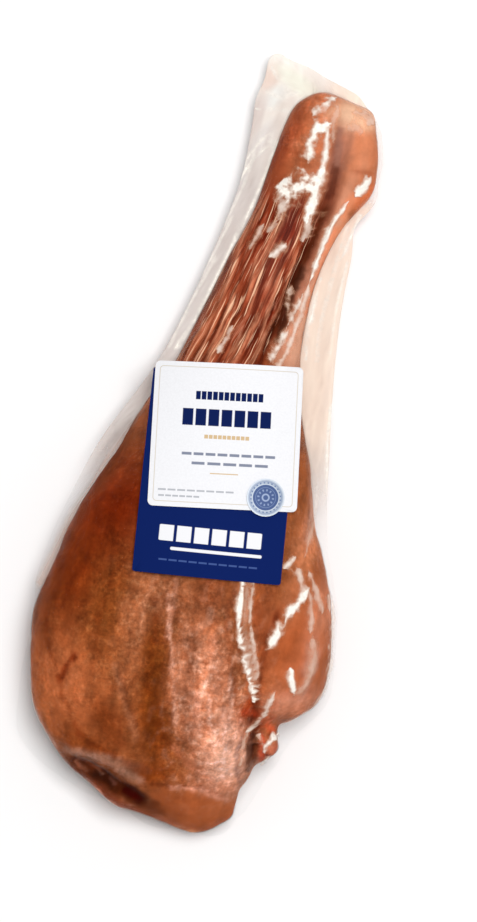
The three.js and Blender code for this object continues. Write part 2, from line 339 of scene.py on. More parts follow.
# How far across the shank a place is: 0 at its left edge, 1 at the groove beside the bone.
left_line, groove_line = np.array(SHANK_LEFT).T, np.array(SHANK_GROOVE).T
left_edge = np.interp(y, left_line[1], left_line[0])
groove_x = np.interp(y, groove_line[1], groove_line[0])
across = (x - left_edge) / (groove_x - left_edge)
on_shank = (
    ease(24, 44, y) * (1 - ease(132, 160, y)) * ease(-0.06, 0.02, across) * (1 - ease(0.97, 1.02, across))
)
wander = rough(points, 30, 1, (0.6, 1.4, 1))
chance = np.random.default_rng(12)
strands = np.zeros(len(points))
for _ in range(STRANDS):
    start, length = chance.uniform(20, 128), chance.uniform(22, 62)
    place, drift = chance.uniform(0.02, 0.98), chance.uniform(-0.09, 0.09)
    half, height = chance.uniform(0.018, 0.055), chance.uniform(0.4, 1.5)
    middle = (y - start) / length * 2 - 1
    body = np.clip(1 - middle**2, 0, 1) ** 0.6
    strand = height * body * np.exp(-(((across + 0.035 * wander - place - drift * middle) / half) ** 2))
    strands = np.maximum(strands, strand)
strands = strands * on_shank * on_top
push += 1.1 * strands - SHANK_SINK * on_shank * on_top
print("laid", STRANDS, "strands")

# %% Add the fat's cushions and the skin's unevenness
# Fat under the skin of the right half of the thigh stands up in little cushions.
fatty = in_patch(x, y, 24, -142, 26, 52, 0, 1.5) * on_top
cushions = rough(points, 4.6, 6, (1, 1.5, 1), 2)
push += 0.45 * cushions * fatty
push += 0.8 * rough(points, 26, 2) * (1 - 0.6 * ease(20, 60, y))
push += 0.34 * rough(points, 8, 3, (1, 1.7, 1)) * (1 - ease(120, 150, y))
print("cushions up to", (0.45 * cushions * fatty).max().round(2), "mm")

# %% Move the skin, clear of the labels and the floor
UNDER_LABELS = 1.0  # the meat stays this far below the labels, which lie over the crown
LOWEST = 0.9  # and this far above the floor, where the back film lies
FLAT_BELOW = 1.0  # skin that faces downwards swells no lower than this
UNDERSIDE = -0.2  # a point faces downwards if its outward direction falls by more than this
LABEL_TREES = [
    BVHTree.FromObject(nodes[name], bpy.context.evaluated_depsgraph_get())
    for name in ("backing_label", "front_label")
]


def height_to_labels(places):
    """How far above each place, straight up, the underside of the lowest label is, or infinity."""
    gaps = np.full(len(places), np.inf)
    for index, place in enumerate(places * MM):
        for tree in LABEL_TREES:
            hit = tree.ray_cast(Vector(place), Vector((0, 0, 1)))
            if hit[0] is not None:
                gaps[index] = min(gaps[index], hit[3] / MM)
    return gaps


room = height_to_labels(points)
push = np.where(np.isfinite(room), np.minimum(push, (room - UNDER_LABELS) * 0.9), push)
floor_guard = (FLAT_BELOW - z) / np.minimum(normals[:, 2], UNDERSIDE)
push = np.where(normals[:, 2] < UNDERSIDE, np.minimum(push, np.maximum(floor_guard, 0)), push)
points = points + normals * push[:, None]
points[:, 2] = np.maximum(points[:, 2], LOWEST)
set_points(leg, points)
bpy.ops.object.shade_smooth()
relief = push - smoothed(push, edges, 30)  # the fine part of the shape, for the colours to follow
print("sculpted between", push.min().round(1), "and", push.max().round(1), "mm")

# %% [markdown]
# ### The colour of cured meat
#
# Curing takes a leg from pink to rust brown, darkest where lean muscle has dried and palest over fat,
# sinew and bone. Broad patches are laid on first, each with a soft edge that wanders with the grain. The
# fine marks follow the relief: hollows get painted shade, and rises a painted pale highlight. A few
# patches and strokes paint light and shade too, and each says so where it stands.

# %% Lay the broad patches of colour
RUST = (150, 80, 42)
SOFT = 1.3  # how crisp a patch's edge is, unless it says otherwise
# Each patch: centre x, y, half-width along and across, turn in degrees, colour and strength, and
# for the few with a crisp edge how crisp it is.
PATCHES = [
    (2, 92, 80, 34, 73, (160, 76, 50), 1.0),
    (-14, 62, 36, 12, 72, (174, 94, 62), 0.8),
    (14, 128, 24, 12, 80, (134, 44, 22), 0.9),
    (2, 138, 16, 7, 80, (150, 54, 26), 0.8),
    # The groove beside the tendon: darker meat and painted shade.
    (20, 84, 46, 5, 74, (112, 34, 12), 0.9),
    (46, 184, 34, 20, 85, (222, 134, 92), 1.0),
    (24, 196, 26, 14, 80, (206, 118, 78), 1.0),
    (13, 186, 24, 9, 76, (186, 100, 62), 1.0),
    (7, 178, 28, 6, 76, (158, 68, 38), 0.75),
    # A painted highlight on top of the hock's right head.
    (44, 199, 14, 9, 0, (255, 208, 172), 1.0),
    # Painted shade: a greyish brown valley between the hock's two heads.
    (38, 170, 26, 6, 88, (182, 118, 94), 0.95),
    # The groove beside the tendon, here and in the next patch: darker meat and painted shade.
    (36, 140, 20, 3.5, 82, (132, 68, 46), 0.9),
    (29, 106, 34, 2.6, 76, (96, 42, 20), 0.9),
    (58, 155, 12, 5, 48, (230, 122, 74), 1.0),
    (41, 112, 52, 5.5, 80, (232, 166, 134), 1.0),
    (32, 80, 32, 4.6, 80, (222, 158, 130), 0.95),
    (36, 70, 34, 6, 84, (228, 168, 138), 0.9),
    (48, 137, 20, 2.6, 74, (236, 146, 104), 0.9),
    (-50, -50, 46, 26, 62, (114, 32, 4), 1.0),
    (-68, -92, 38, 20, 78, (120, 44, 8), 0.95),
    (-76, -126, 30, 12, 88, (134, 60, 22), 0.8),
    (-44, -106, 34, 15, 86, (134, 66, 24), 0.9),
    (-22, -104, 30, 13, 90, (174, 102, 64), 0.95),
    (-62, -156, 32, 22, 108, (190, 102, 58), 1.0),
    (-34, -168, 18, 9, 125, (122, 52, 16), 0.85),
    (-44, -184, 20, 9, 150, (148, 68, 24), 0.8),
    (-13, -134, 42, 9, 97, (116, 54, 14), 0.95, 2.0),
    (-6, -168, 26, 11, 104, (120, 54, 14), 0.95),
    (-8, -194, 18, 8, 8, (124, 52, 10), 0.9),
    (-10, -92, 14, 10, 90, (158, 94, 62), 0.7),
    (11, -124, 42, 15, 97, (180, 104, 66), 0.95, 2.6),
    (21, -148, 38, 19, 104, (200, 124, 90), 0.95, 2.0),
    (10, -84, 15, 11, 90, (128, 64, 34), 0.92),
    (38, -178, 22, 13, 80, (242, 178, 150), 0.95),
    (30, -196, 16, 6, 10, (190, 112, 78), 0.8),
    (44, -96, 28, 7, 102, (156, 78, 42), 0.95),
    (68, -110, 44, 20, 88, (190, 102, 62), 1.0),
    (59, -106, 18, 8, 70, (166, 82, 42), 0.9),
    (76, -88, 20, 7, 80, (206, 128, 94), 0.8),
    (68, -138, 16, 8, 20, (216, 142, 112), 0.8),
    (74, -118, 14, 3.6, 88, (206, 154, 134), 0.8),
    (44, -146, 10, 4.6, 84, (156, 60, 24), 0.95),
    (53, -152, 12, 3.6, 70, (186, 78, 44), 0.8),
    # Painted shade in the gap beside the knob, over darker meat.
    (50, -170, 12, 3.2, 80, (112, 58, 32), 0.9),
    (60, -169, 6, 4.6, 0, (208, 92, 64), 0.9),
    (21, -213, 33, 14, 0, (168, 86, 46), 1.0, 4.0),
    (38, -208, 14, 6, 15, (180, 98, 58), 0.7),
    # The crevice, here and in the next two patches: dark dried meat with painted shade, darkest at its
    # deepest.
    (-19, -206, 30, 6.5, -22, (92, 38, 10), 1.0, 2.5),
    (-40, -198, 18, 4, -14, (92, 38, 12), 1.0),
    (-13, -207, 7, 3.6, -26, (64, 2, 0), 1.0),
    (-38, -189, 22, 3.4, -4, (150, 104, 84), 0.8),
    (-18, -195, 12, 3, -28, (144, 96, 72), 0.7),
    (-14, -219, 14, 2.4, -16, (222, 158, 132), 0.9),
    (22, -226, 12, 1.8, 0, (222, 142, 96), 0.8),
    (62, -40, 40, 8, 84, (194, 116, 76), 0.95),
    (62, -14, 26, 3, 84, (170, 120, 100), 0.7),
]

warp = np.stack([rough(points, 14, 4), rough(points, 14, 5)], 1) * 3.2
px, py = points[:, 0] + warp[:, 0], points[:, 1] + warp[:, 1]
tint = np.tile(linear(*RUST), (len(points), 1))
for cx, cy, long, wide, turn, colour, strength, *crispness in PATCHES:
    inside = in_patch(px, py, cx, cy, long, wide, turn, *(crispness or [SOFT]))
    tint = laid_over(tint, colour, strength * inside * ease(-0.85, -0.15, normals[:, 2]))
print("laid", len(PATCHES), "patches of colour")


# %% Paint shade into the hollows and a pale highlight onto the rises
def painted_shade(tint, share, darker, redder):
    """Colours darkened by a share and drawn towards red: painted shade."""
    share = share[:, None]
    return tint * (1 - darker * share) * np.array(redder) ** share


# Painted shade: the hollows of the relief are darkened and reddened.
tint = painted_shade(tint, ease(0.04, 1.0, -relief), 0.6, (1.0, 0.7, 0.6))
# Painted highlight: the rises of the relief are laid over with a pale colour.
tint = laid_over(tint, (222, 146, 106), 0.34 * ease(0.1, 1.1, relief))
# The tops of the shank's strands are laid pale: partly their own paler meat, partly a painted highlight.
tint = laid_over(tint, (208, 134, 100), 0.48 * ease(0.4, 1.2, strands))
# Between the strands the shank is darkened and reddened: partly darker dried meat, partly painted shade.
shade_between_strands = on_shank * on_top * (1 - ease(0.0, 0.35, strands))
tint = painted_shade(tint, shade_between_strands, 0.22, (1.0, 0.8, 0.7))
tint = laid_over(tint, (232, 172, 142), ease(0.05, 0.5, cushions) * fatty * 0.45)
print("colours between", tint.min().round(2), "and", tint.max().round(2))

# %% Draw the rims, folds and sinews as strokes
STROKES = [  # line, half-width, colour, strength
    (
        [(-56, -198), (-46, -202), (-36, -207), (-26, -212), (-14, -217), (-4, -219)],
        3.0, (136, 62, 36), 0.85,
    ),
    # The crevice, in this stroke and the next two: dark dried meat with painted shade.
    (
        [(-53, -193), (-44, -197), (-36, -200), (-28, -203), (-20, -206), (-12, -209), (-3, -213)],
        4.6, (78, 30, 8), 0.97,
    ),
    ([(-38, -199), (-30, -202), (-23, -205)], 3.0, (50, 16, 4), 0.9),
    ([(-19, -205), (-12, -208), (-6, -211)], 3.2, (58, 2, 0), 1.0),
    ([(-49, -194), (-44, -198), (-41, -201)], 1.6, (150, 84, 58), 0.8),
    ([(-36, -195), (-31, -200)], 1.2, (128, 84, 66), 0.6),
    ([(-27, -199), (-23, -205)], 1.0, (120, 70, 56), 0.5),
    (
        [(-59, -189), (-48, -190), (-37, -190), (-27, -192), (-18, -196), (-6, -199)],
        2.0, (168, 118, 96), 0.6,
    ),
    ([(-48, -192), (-40, -194), (-32, -197)], 1.2, (126, 58, 30), 0.6),
    ([(-46, -205), (-38, -209), (-28, -213)], 1.1, (208, 138, 110), 0.7),
    ([(-36, -209), (-26, -216), (-15, -220), (-7, -221), (-1, -223)], 1.5, (214, 130, 100), 0.9),
    ([(5, -222), (12, -225)], 1.4, (140, 50, 30), 0.8),
    ([(14, -227), (30, -228)], 1.8, (228, 148, 100), 0.8),
    ([(6, -200), (26, -198), (44, -203)], 1.4, (202, 132, 104), 0.7),
    # The gap beside the knob: darker meat and painted shade.
    ([(53, -166), (52, -173), (54, -181)], 1.7, (104, 50, 26), 0.9),
    ([(44, -160), (42, -172), (44, -184), (48, -192)], 1.5, (150, 104, 88), 0.7),
    # The gap beside the knob: darker meat and painted shade, greyer here.
    ([(49, -159), (48, -167), (50, -177), (50, -185)], 1.8, (92, 50, 36), 0.75),
    ([(53, -159), (57, -168), (57, -178)], 1.6, (196, 70, 40), 0.75),
    ([(36, -164), (35, -176), (38, -188)], 1.2, (236, 184, 162), 0.5),
    ([(40, -150), (45, -148), (50, -150)], 2.4, (172, 62, 30), 0.8),
    ([(55, -154), (60, -157), (62, -161)], 2.0, (206, 84, 46), 0.7),
    ([(37, -84), (40, -98), (46, -112), (50, -124)], 2.6, (146, 70, 36), 0.7),
    ([(-10, -78), (-8, -100), (-9, -116)], 1.4, (196, 132, 104), 0.45),
    ([(-21, -78), (-25, -98), (-24, -114)], 1.4, (192, 122, 86), 0.45),
    ([(-5, -96), (-6, -120), (-5, -146), (0, -170)], 1.2, (112, 54, 20), 0.5),
    ([(-16, -100), (-17, -124), (-13, -150)], 2.2, (112, 46, 10), 0.6),
    ([(-37, -132), (-31, -144), (-25, -157), (-20, -166)], 1.6, (186, 116, 78), 0.5),
    ([(-33, -137), (-27, -150), (-21, -162), (-16, -170)], 1.8, (98, 40, 12), 0.6),
    ([(-58, -131), (-63, -141), (-67, -152)], 1.6, (120, 40, 8), 0.55),
    ([(-52, -176), (-40, -182), (-24, -188)], 1.8, (122, 50, 14), 0.6),
    ([(-70, -138), (-63, -156), (-54, -171), (-44, -183)], 1.4, (150, 66, 28), 0.5),
    ([(-80, -112), (-76, -128), (-70, -142)], 1.8, (132, 56, 22), 0.6),
    ([(-60, -74), (-68, -92), (-72, -110)], 2.0, (96, 32, 6), 0.5),
    ([(-38, -66), (-46, -88), (-50, -112), (-46, -136)], 2.2, (104, 42, 12), 0.55),
    ([(-30, -70), (-34, -92), (-36, -116)], 1.4, (172, 98, 58), 0.5),
    ([(-13, -86), (-9, -106), (-4, -124), (1, -146), (5, -166)], 1.3, (214, 146, 116), 0.6),
    ([(2, -92), (6, -112), (12, -132), (15, -152)], 1.5, (146, 78, 46), 0.5),
    ([(14, -76), (16, -98), (20, -120), (28, -140)], 1.6, (160, 88, 54), 0.5),
    ([(22, -84), (24, -104), (29, -122), (36, -140), (40, -156)], 1.6, (148, 74, 42), 0.6),
    ([(20, -140), (24, -158), (30, -174)], 1.2, (232, 170, 144), 0.55),
    ([(8, -100), (11, -118), (14, -134)], 2.2, (222, 146, 112), 0.2),
    ([(16, -106), (20, -124), (26, -142)], 2.0, (224, 148, 116), 0.3),
    ([(12, -140), (16, -154), (19, -168)], 2.4, (222, 148, 118), 0.45),
    ([(30, -146), (32, -160), (38, -176)], 2.2, (236, 172, 146), 0.5),
    ([(30, -128), (34, -146), (36, -162)], 1.3, (236, 176, 150), 0.5),
    ([(12, -158), (16, -174), (22, -188)], 1.3, (160, 92, 64), 0.5),
    ([(4, -174), (16, -184), (32, -192)], 1.8, (190, 110, 76), 0.5),
    # A painted glow along the film's edge, laid on the meat at the thigh's lower left.
    ([(-92, -128), (-90, -146), (-82, -164), (-70, -182), (-60, -191)], 1.6, (216, 172, 152), 0.6),
    ([(6, 186), (3, 172), (0, 156), (-5, 140), (-13, 116), (-21, 90)], 1.6, (128, 50, 26), 0.6),
    # Painted shade down the valley between the hock's two heads, in this stroke and the next.
    ([(36, 192), (37, 180), (39, 168)], 2.4, (172, 116, 96), 0.8),
    ([(43, 192), (44, 178), (43, 166)], 2.2, (160, 104, 82), 0.5),
    # The groove beside the tendon, in this stroke and the next: darker meat and painted shade.
    ([(37, 150), (35, 136), (31, 118), (27, 100), (22, 82), (17, 62)], 1.6, (84, 34, 12), 0.85),
    ([(31, 112), (28, 98), (25, 80), (22, 60)], 2.3, (52, 20, 8), 0.85),
    ([(45, 137), (41, 118), (38, 98), (37, 78)], 1.3, (226, 132, 92), 0.7),
    ([(60, -50), (61, -30), (62, -10), (60, 14)], 1.8, (206, 160, 140), 0.6),
]
x, y, z = points.T
fray = 1.1 * rough(points, 5, 9) + 0.8 * rough(points, 2.4, 10)  # strokes have ragged edges
for line, half, colour, strength in STROKES:
    away, along = near_line(line, x, y)
    fade = tapered(along, 0.08) * ease(-0.1, 0.3, normals[:, 2])
    tint = laid_over(tint, colour, strength * fade * np.exp(-np.abs((away + fray) / half) ** 3))
print("drew", len(STROKES), "strokes")

# %% Keep on the leg what its material reads
EXPOSURE = 0.9  # the colours were chosen a little brighter than the light wants them
SHANK_WIDTH = 42  # about how wide the shank is, so that the grain keeps its scale across it

mottled = 0.45 * (1 - ease(10, 40, y))
mottled += 0.8 * in_patch(x, y, -22, -104, 28, 36, 0, 1.4)
mottled += 0.7 * fatty
mottled += 0.5 * in_patch(x, y, 18, 186, 15, 28, 0, 2)
mottled *= 1 - 0.9 * in_patch(x, y, 21, -213, 34, 14, 0, 4)
mottled *= 1 - 0.8 * in_patch(x, y, 66, -106, 22, 46, 0, 2)
mottled *= 0.75 + 0.6 * rough(points, 11, 8)
store_colour(leg, "tint", EXPOSURE * tint)
store(leg, "shank", on_shank)
store(leg, "mottled", mottled)
# A place for the grain of the shank to be drawn in: across it and along it, in millimetres.
grain_place = np.stack([across * SHANK_WIDTH + 1.2 * wander + 0.25 * rough(points, 9, 15), y, z * 0.3], 1)
layer = leg.data.attributes.new("grain_place", "FLOAT_VECTOR", "POINT")
layer.data.foreach_set("vector", grain_place.astype(np.float32).ravel())
print("mottled by up to", mottled.max().round(2))

# %% [markdown]
# ## The pouch
#
# Two sheets of clear film are welded together round the leg. With the air drawn out, the film is drawn
# onto the meat wherever the meat is near, and then stretched like a drumskin: each point rises to the
# average of its neighbours, but never sinks below its rest on the meat, so narrow hollows are bridged.
# A cloth simulation could do this too, but a nearest-point search is quicker and always ends the same.

# %% Tools for making a sheet
RIM_TURN = math.radians(50)  # a sharper outward turn than this is the film's cut edge
SHEET = 0.12  # thickness of the film


def film_sheet(node, name, way_up):
    """The outer face of a film's solid as one even sheet of quads. way_up is 1 or -1."""
    sheet = copy_of(node, name)
    mesh = bmesh.new()
    mesh.from_mesh(sheet.data)
    first = max(mesh.faces, key=lambda face: way_up * face.calc_center_median().z)
    reached, waiting = {first}, [first]
    while waiting:
        face = waiting.pop()
        for edge in face.edges:
            # the sheet ends where it turns sharply outwards, at its cut edge
            if len(edge.link_faces) == 2 and edge.calc_face_angle_signed() < RIM_TURN:
                for other in edge.link_faces:
                    if other not in reached:
                        reached.add(other)
                        waiting.append(other)
    for face in mesh.faces:
        face.select_set(face not in reached)
    mesh.to_mesh(sheet.data)
    mesh.free()
    bpy.ops.object.mode_set(mode="EDIT")
    bpy.ops.mesh.select_mode(type="FACE")
    bpy.ops.mesh.delete(type="FACE")
    bpy.ops.mesh.select_all(action="SELECT")
    turn = math.radians(120)
    bpy.ops.mesh.tris_convert_to_quads(face_threshold=turn, shape_threshold=turn)
    bpy.ops.object.mode_set(mode="OBJECT")
    apply_modifier(sheet, "SUBSURF", levels=2, render_levels=2)
    return sheet


def refine(sheet, wanted, longest):
    """Halve the edges that are longer than a given length, in millimetres, and lie where wanted."""
    points, edges = points_of(sheet), edges_of(sheet)
    ends = points[edges[:, 0]], points[edges[:, 1]]
    lengths = np.linalg.norm(ends[0] - ends[1], axis=1)
    chosen = (lengths > longest) & wanted((ends[0] + ends[1]) / 2)
    select_only(sheet)
    bpy.ops.object.mode_set(mode="EDIT")
    bpy.ops.mesh.select_mode(type="EDGE")
    bpy.ops.mesh.select_all(action="DESELECT")
    bpy.ops.object.mode_set(mode="OBJECT")
    sheet.data.edges.foreach_set("select", chosen)
    bpy.ops.object.mode_set(mode="EDIT")
    bpy.ops.mesh.subdivide(number_cuts=1, smoothness=0.0)
    bpy.ops.object.mode_set(mode="OBJECT")


def give_thickness(sheet):
    """Thicken a finished sheet outwards, with material slots of their own for its two faces."""
    for _ in range(2):
        sheet.data.materials.append(None)
    apply_modifier(sheet, "SOLIDIFY", thickness=SHEET * MM, offset=1.0, material_offset=1)
    select_only(sheet)
    bpy.ops.object.shade_smooth()
    triangles = sum(len(face.vertices) - 2 for face in sheet.data.polygons)
    print(sheet.name + ":", triangles, "triangles")


# %% Tools for drawing a sheet onto the meat
NEAR, FAR = 2.6, 6.0  # film nearer the meat than this lies on it, and farther than this hangs free
LEAST_GAP = 0.7  # the share of its gap that the film keeps, however hard it is drawn
DRUMSKIN_ROUNDS = 4  # how often the film is stretched
FLAP_PULLS = [  # for the flap's outline: centre, reach, drag
    ((-9, 224), 7, (-3.0, 3.4, 0)),
    ((-15, 200), 9, (-1.6, 0.8, 0)),
    ((12, 222), 8, (0.4, 1.2, 0)),
    ((66, 138), 13, (-6.0, -1.0, 0)),
    ((76, 168), 13, (-4.0, 0, 0)),
    ((72, 192), 11, (-3.0, 0, 0)),
]


def nearest_meat(places):
    """For each place the nearest point of the meat, the meat's outward direction there and how far."""
    meat = BVHTree.FromObject(leg, bpy.context.evaluated_depsgraph_get())
    spots, ways, gaps = np.empty_like(places), np.empty_like(places), np.empty(len(places))
    for index, place in enumerate(places * MM):
        spot, way, _, gap = meat.find_nearest(Vector(place))
        spots[index], ways[index], gaps[index] = np.array(spot) / MM, way, gap / MM
    return spots, ways, gaps


def over_meat(places):
    """1 for each place that has meat straight above or below it, and 0 beside the leg."""
    meat = BVHTree.FromObject(leg, bpy.context.evaluated_depsgraph_get())
    down = Vector((0, 0, -1))
    hits = [meat.ray_cast(Vector((px, py, 0.3)), down)[0] is not None for px, py in places[:, :2] * MM]
    return np.array(hits, float)


def drape(sheet, gap):
    """Draw a sheet onto the meat. Returns its points, how fully each one lies on the meat, how far
    each is beside it, and the links between them."""
    places, links = points_of(sheet), edges_of(sheet)
    count = len(places)
    spots, ways, gaps = nearest_meat(places)
    over = over_meat(places)
    lying = np.maximum(over, 1 - ease(NEAR, FAR, gaps))
    drawn = (spots + ways * gap - places) * lying[:, None]
    drawn = np.stack([smoothed(part, links, 1) for part in drawn.T], 1)
    places = places + drawn
    set_points(sheet, places)
    outward = normals_of(sheet)
    for _ in range(DRUMSKIN_ROUNDS):
        round_about = np.stack([average_round(part, links, count) for part in places.T], 1)
        rise = np.maximum(((round_about - places) * outward).sum(1), 0) * lying
        places = places + outward * rise[:, None]
    # what the smoothing let sink into the meat is lifted clear of it
    spots, ways, gaps = nearest_meat(places)
    above = ((places - spots) * ways).sum(1)
    sunk = (above < gap * LEAST_GAP) & (gaps < FAR)
    places[sunk] = (spots + ways * gap * LEAST_GAP)[sunk]
    return places, lying, 1 - over_meat(places), links


def flap_pulled(places, beside, links):
    """The outline of the flap pulled into shape, with the film over the leg left where it is."""
    return places + (pulled(places, FLAP_PULLS) - places) * smoothed(beside, links, 4)[:, None]


def waves(places, broad, small):
    """How far the loose film rises and falls, for a height of its broad waves and of its small ones."""
    return broad * rough(places, 30, 11, (0.6, 1.6, 1)) + small * rough(places, 8, 12, (0.5, 2, 1))


# %% [markdown]
# ### Creases and their gleams
#
# Where the film was gathered it keeps sharp little creases, whose flanks throw back the light in torn
# white streaks. The shape of a crease is a low ridge. The streak is a painted highlight: its gleam is kept
# on the points as a distance from the crease's line, counted in half-widths, and the material turns that
# distance into a ragged painted white streak, which stays sharp between points that are a millimetre apart.
# The same list also paints highlights as blotches and glints on the hock and the shank.

# %% Say where the creases run
# The gleams are painted highlights, white streaks that the film's material paints along each line.
CREASES_AND_GLEAMS = [  # line, height, half-width, gleam, and for some how torn the gleam is
    (
        [(28, -70), (28, -90), (30, -101), (33, -111), (37, -120), (41, -128), (44, -135), (47, -144)],
        0.9, 1.8, 0.95, 1.2,
    ),
    ([(34, -70), (34, -88), (36, -98), (39, -107), (43, -117), (46, -127), (48, -142)], 0.9, 1.4, 0.6, 1.3),
    ([(31, -70), (31, -88), (34, -104), (39, -118), (45, -134)], 0.2, 3.2, 0.36),
    ([(29, -84), (29, -94)], 0.3, 3.0, 1.0),
    ([(66, -72), (60, -83), (54, -94), (51, -103), (48, -112)], 1.1, 2.6, 0.95, 1.3),
    ([(57, -62), (62, -74), (66, -72)], 0.5, 2.6, 0.6),
    ([(64, -63), (67, -69), (71, -76), (76, -86)], 0.7, 1.8, 0.5, 1.4),
    ([(66, -74), (70, -88), (71, -98)], 0.5, 2.0, 0.5),
    ([(49, -64), (55, -56)], 0.5, 2.2, 0.7),
    ([(78, -74), (80, -84)], 0.4, 2.0, 0.55),
    ([(63, -119), (65, -126), (68, -133)], 0.8, 2.0, 1.0),
    ([(68, -134), (73, -127), (75, -120), (75, -111), (72, -99)], 0.7, 2.8, 0.45),
    ([(57, -133), (54, -145), (51, -153), (45, -160)], 0.6, 2.0, 0.7),
    ([(56, -168), (64, -159)], 0.6, 1.8, 0.95, 1.5),
    ([(51, -156), (54, -163), (58, -171)], 0.5, 1.5, 0.65, 1.7),
    ([(61, -172), (57, -180)], 0.4, 1.4, 0.6, 1.7),
    ([(46, -160), (44, -171), (46, -182)], 0.3, 1.3, 0.4, 1.7),
    ([(29, 192), (30, 182), (31, 172), (30, 162)], 0.5, 1.8, 0.8),
    ([(31, 168), (29, 156), (28, 145), (27, 133)], 0.8, 3.4, 1.0),
    ([(28, 140), (27, 122)], 0.5, 2.2, 0.6),
    ([(23, 187), (30, 192)], 0.5, 4.6, 1.0, 1.6),
    ([(20, 195), (24, 202), (31, 208)], 0.5, 3.0, 0.75, 1.8),
    ([(24, 191), (21, 180), (22, 168)], 0.6, 3.2, 0.85, 1.6),
    ([(7, 151), (13, 150), (19, 152), (25, 156), (30, 161)], 0.8, 6.6, 0.88, 2.3),
    ([(9, 150), (10, 144), (12, 139), (9, 132)], 0.5, 3.2, 0.6, 1.9),
    ([(9, 110), (13, 114), (18, 120)], 0.6, 2.6, 0.75),
    ([(6, 124), (10, 132)], 0.4, 2.0, 0.5),
    ([(42, 201), (49, 201), (55, 197)], 0.4, 3.6, 0.5, 1.4),
    ([(40, 193), (50, 191)], 0.4, 3.0, 0.4, 1.4),
    ([(33, 204), (32, 192), (34, 182)], 0.3, 2.0, 0.4, 1.6),
    ([(59, 167), (52, 154)], 0.6, 2.8, 1.0),
    ([(49, 151), (44, 141), (41, 133), (39, 125), (37, 115), (35, 102)], 0.6, 1.9, 0.85),
    ([(24, 44), (30, 62), (33, 82), (35, 100)], 0.5, 2.2, 0.62),
    ([(27, 98), (25, 91), (24, 83)], 0.4, 1.8, 0.65, 1.6),
    ([(32, 93), (30, 84), (27, 74)], 0.4, 2.4, 0.7, 1.6),
    ([(28, 71), (24, 61), (19, 51)], 0.4, 2.4, 0.7, 1.6),
    ([(-3, 112), (0, 120), (3, 129)], 0.3, 1.8, 0.55, 1.4),
    ([(-10, 50), (-7, 59), (-4, 68)], 0.3, 1.8, 0.6, 1.4),
    ([(40, 96), (39, 78), (40, 58)], 0.4, 1.8, 0.6),
    ([(60, -56), (62, -34), (60, -8)], 0.4, 2.0, 0.4),
    ([(81, -78), (84, -98), (86, -116), (86, -128), (81, -139)], 0.0, 1.8, 0.6),
]
print(len(CREASES_AND_GLEAMS), "creases")

# %% Draw the front film onto the meat
CLING = 0.3  # the front film's height over the meat where it rests
CREASE_EDGES = 1.3  # the longest edge of the film's mesh at a narrow crease
NARROW = 2.5  # half-width under which a crease needs such short edges
CREASED_ABOVE = 12  # no crease needs them in the flap or low on the flanks, under this height
BY_THE_LEG = 4  # film nearer the meat than this follows it closely


def in_the_open(places):
    """Everywhere but beneath the labels, where no one sees the film."""
    return ~np.isfinite(height_to_labels(places))


def at_a_crease(places):
    """Beside a narrow crease, where the film's mesh has to be fine."""
    found = np.zeros(len(places), bool)
    for line, _, half, *_ in CREASES_AND_GLEAMS:
        away, _ = near_line(line, places[:, 0], places[:, 1])
        found |= (np.abs(away) < half + 1.2) & (half < NARROW)
    return found & (places[:, 2] > CREASED_ABOVE)


def over_the_leg(places):
    """Where the film lies over the leg or near it, clear of the labels."""
    return in_the_open(places) & (nearest_meat(places)[2] < BY_THE_LEG)


front = film_sheet("pouch_front_film", "pouch_front", 1)
refine(front, over_the_leg, 0.0)
refine(front, at_a_crease, CREASE_EDGES)
sheet_points, lying, beside, links = drape(front, CLING)
sheet_points = flap_pulled(sheet_points, beside, links)
on_meat = lying > 0.5
print("front film:", len(sheet_points), "points,", int(on_meat.sum()), "of them on the meat")

# %% Stick the film to the labels
STICKS = 6.5  # film nearer to a label's underside than this is stuck to it
GLUE = 0.25  # how far below the label it then lies
SPREAD_ROUNDS = 40  # how far round the labels the film is held up with it

room = height_to_labels(sheet_points)
stuck = np.isfinite(room) & (room < STICKS) & on_meat
level = np.where(stuck, sheet_points[:, 2] + room - GLUE, sheet_points[:, 2])
held = level.copy()
free = on_meat & ~stuck
for _ in range(SPREAD_ROUNDS):
    level = np.where(free, np.maximum(held, average_round(level, links, len(level))), level)
lift = level - sheet_points[:, 2]
sheet_points[:, 2] = np.where(lift > 0.02, level, sheet_points[:, 2])
set_points(front, sheet_points)
print("stuck to the labels:", int(stuck.sum()), "points")

# %% Raise the creases and wave the flap
NO_CREASE = 3.0  # a distance, in half-widths of the crease, at which nothing gleams

outward = normals_of(front)
x, y, _ = sheet_points.T
rise = np.zeros(len(sheet_points))
away_from_crease = np.full(len(sheet_points), NO_CREASE)
shine_of_crease = np.zeros(len(sheet_points))
tear_of_crease = np.ones(len(sheet_points))
wiggle = rough(sheet_points, 8, 21) + 0.4 * rough(sheet_points, 3, 22)
swell = 0.95 + 0.5 * rough(sheet_points, 7, 23)
not_steep = ease(0.1, 0.45, outward[:, 2])  # so that no line is smeared down a steep flank
for line, height, half, shine, *tear in CREASES_AND_GLEAMS:
    away, along = near_line(line, x, y)
    fade = tapered(along, 0.12) * not_steep
    away = np.abs(away + 0.5 * wiggle) / (half * swell)
    rise = np.maximum(rise, height * np.exp(-(away**2)) * fade)
    away = np.minimum(away / np.maximum(fade, 0.05) ** 0.5, NO_CREASE)
    closer = away < away_from_crease
    shine_of_crease = np.where(closer, shine, shine_of_crease)
    tear_of_crease = np.where(closer, tear[0] if tear else 1.0, tear_of_crease)
    away_from_crease = np.minimum(away, away_from_crease)
sheet_points = sheet_points + outward * (rise * lying)[:, None]

# The flap round the leg isn't drawn flat: it waves a little and keeps long soft folds.
loose = smoothed(1 - lying, links, 2)
sheet_points[:, 2] += waves(sheet_points, 1.0, 0.25) * ease(0.5, 1, loose)
set_points(front, sheet_points)
print("raised", len(CREASES_AND_GLEAMS), "creases")
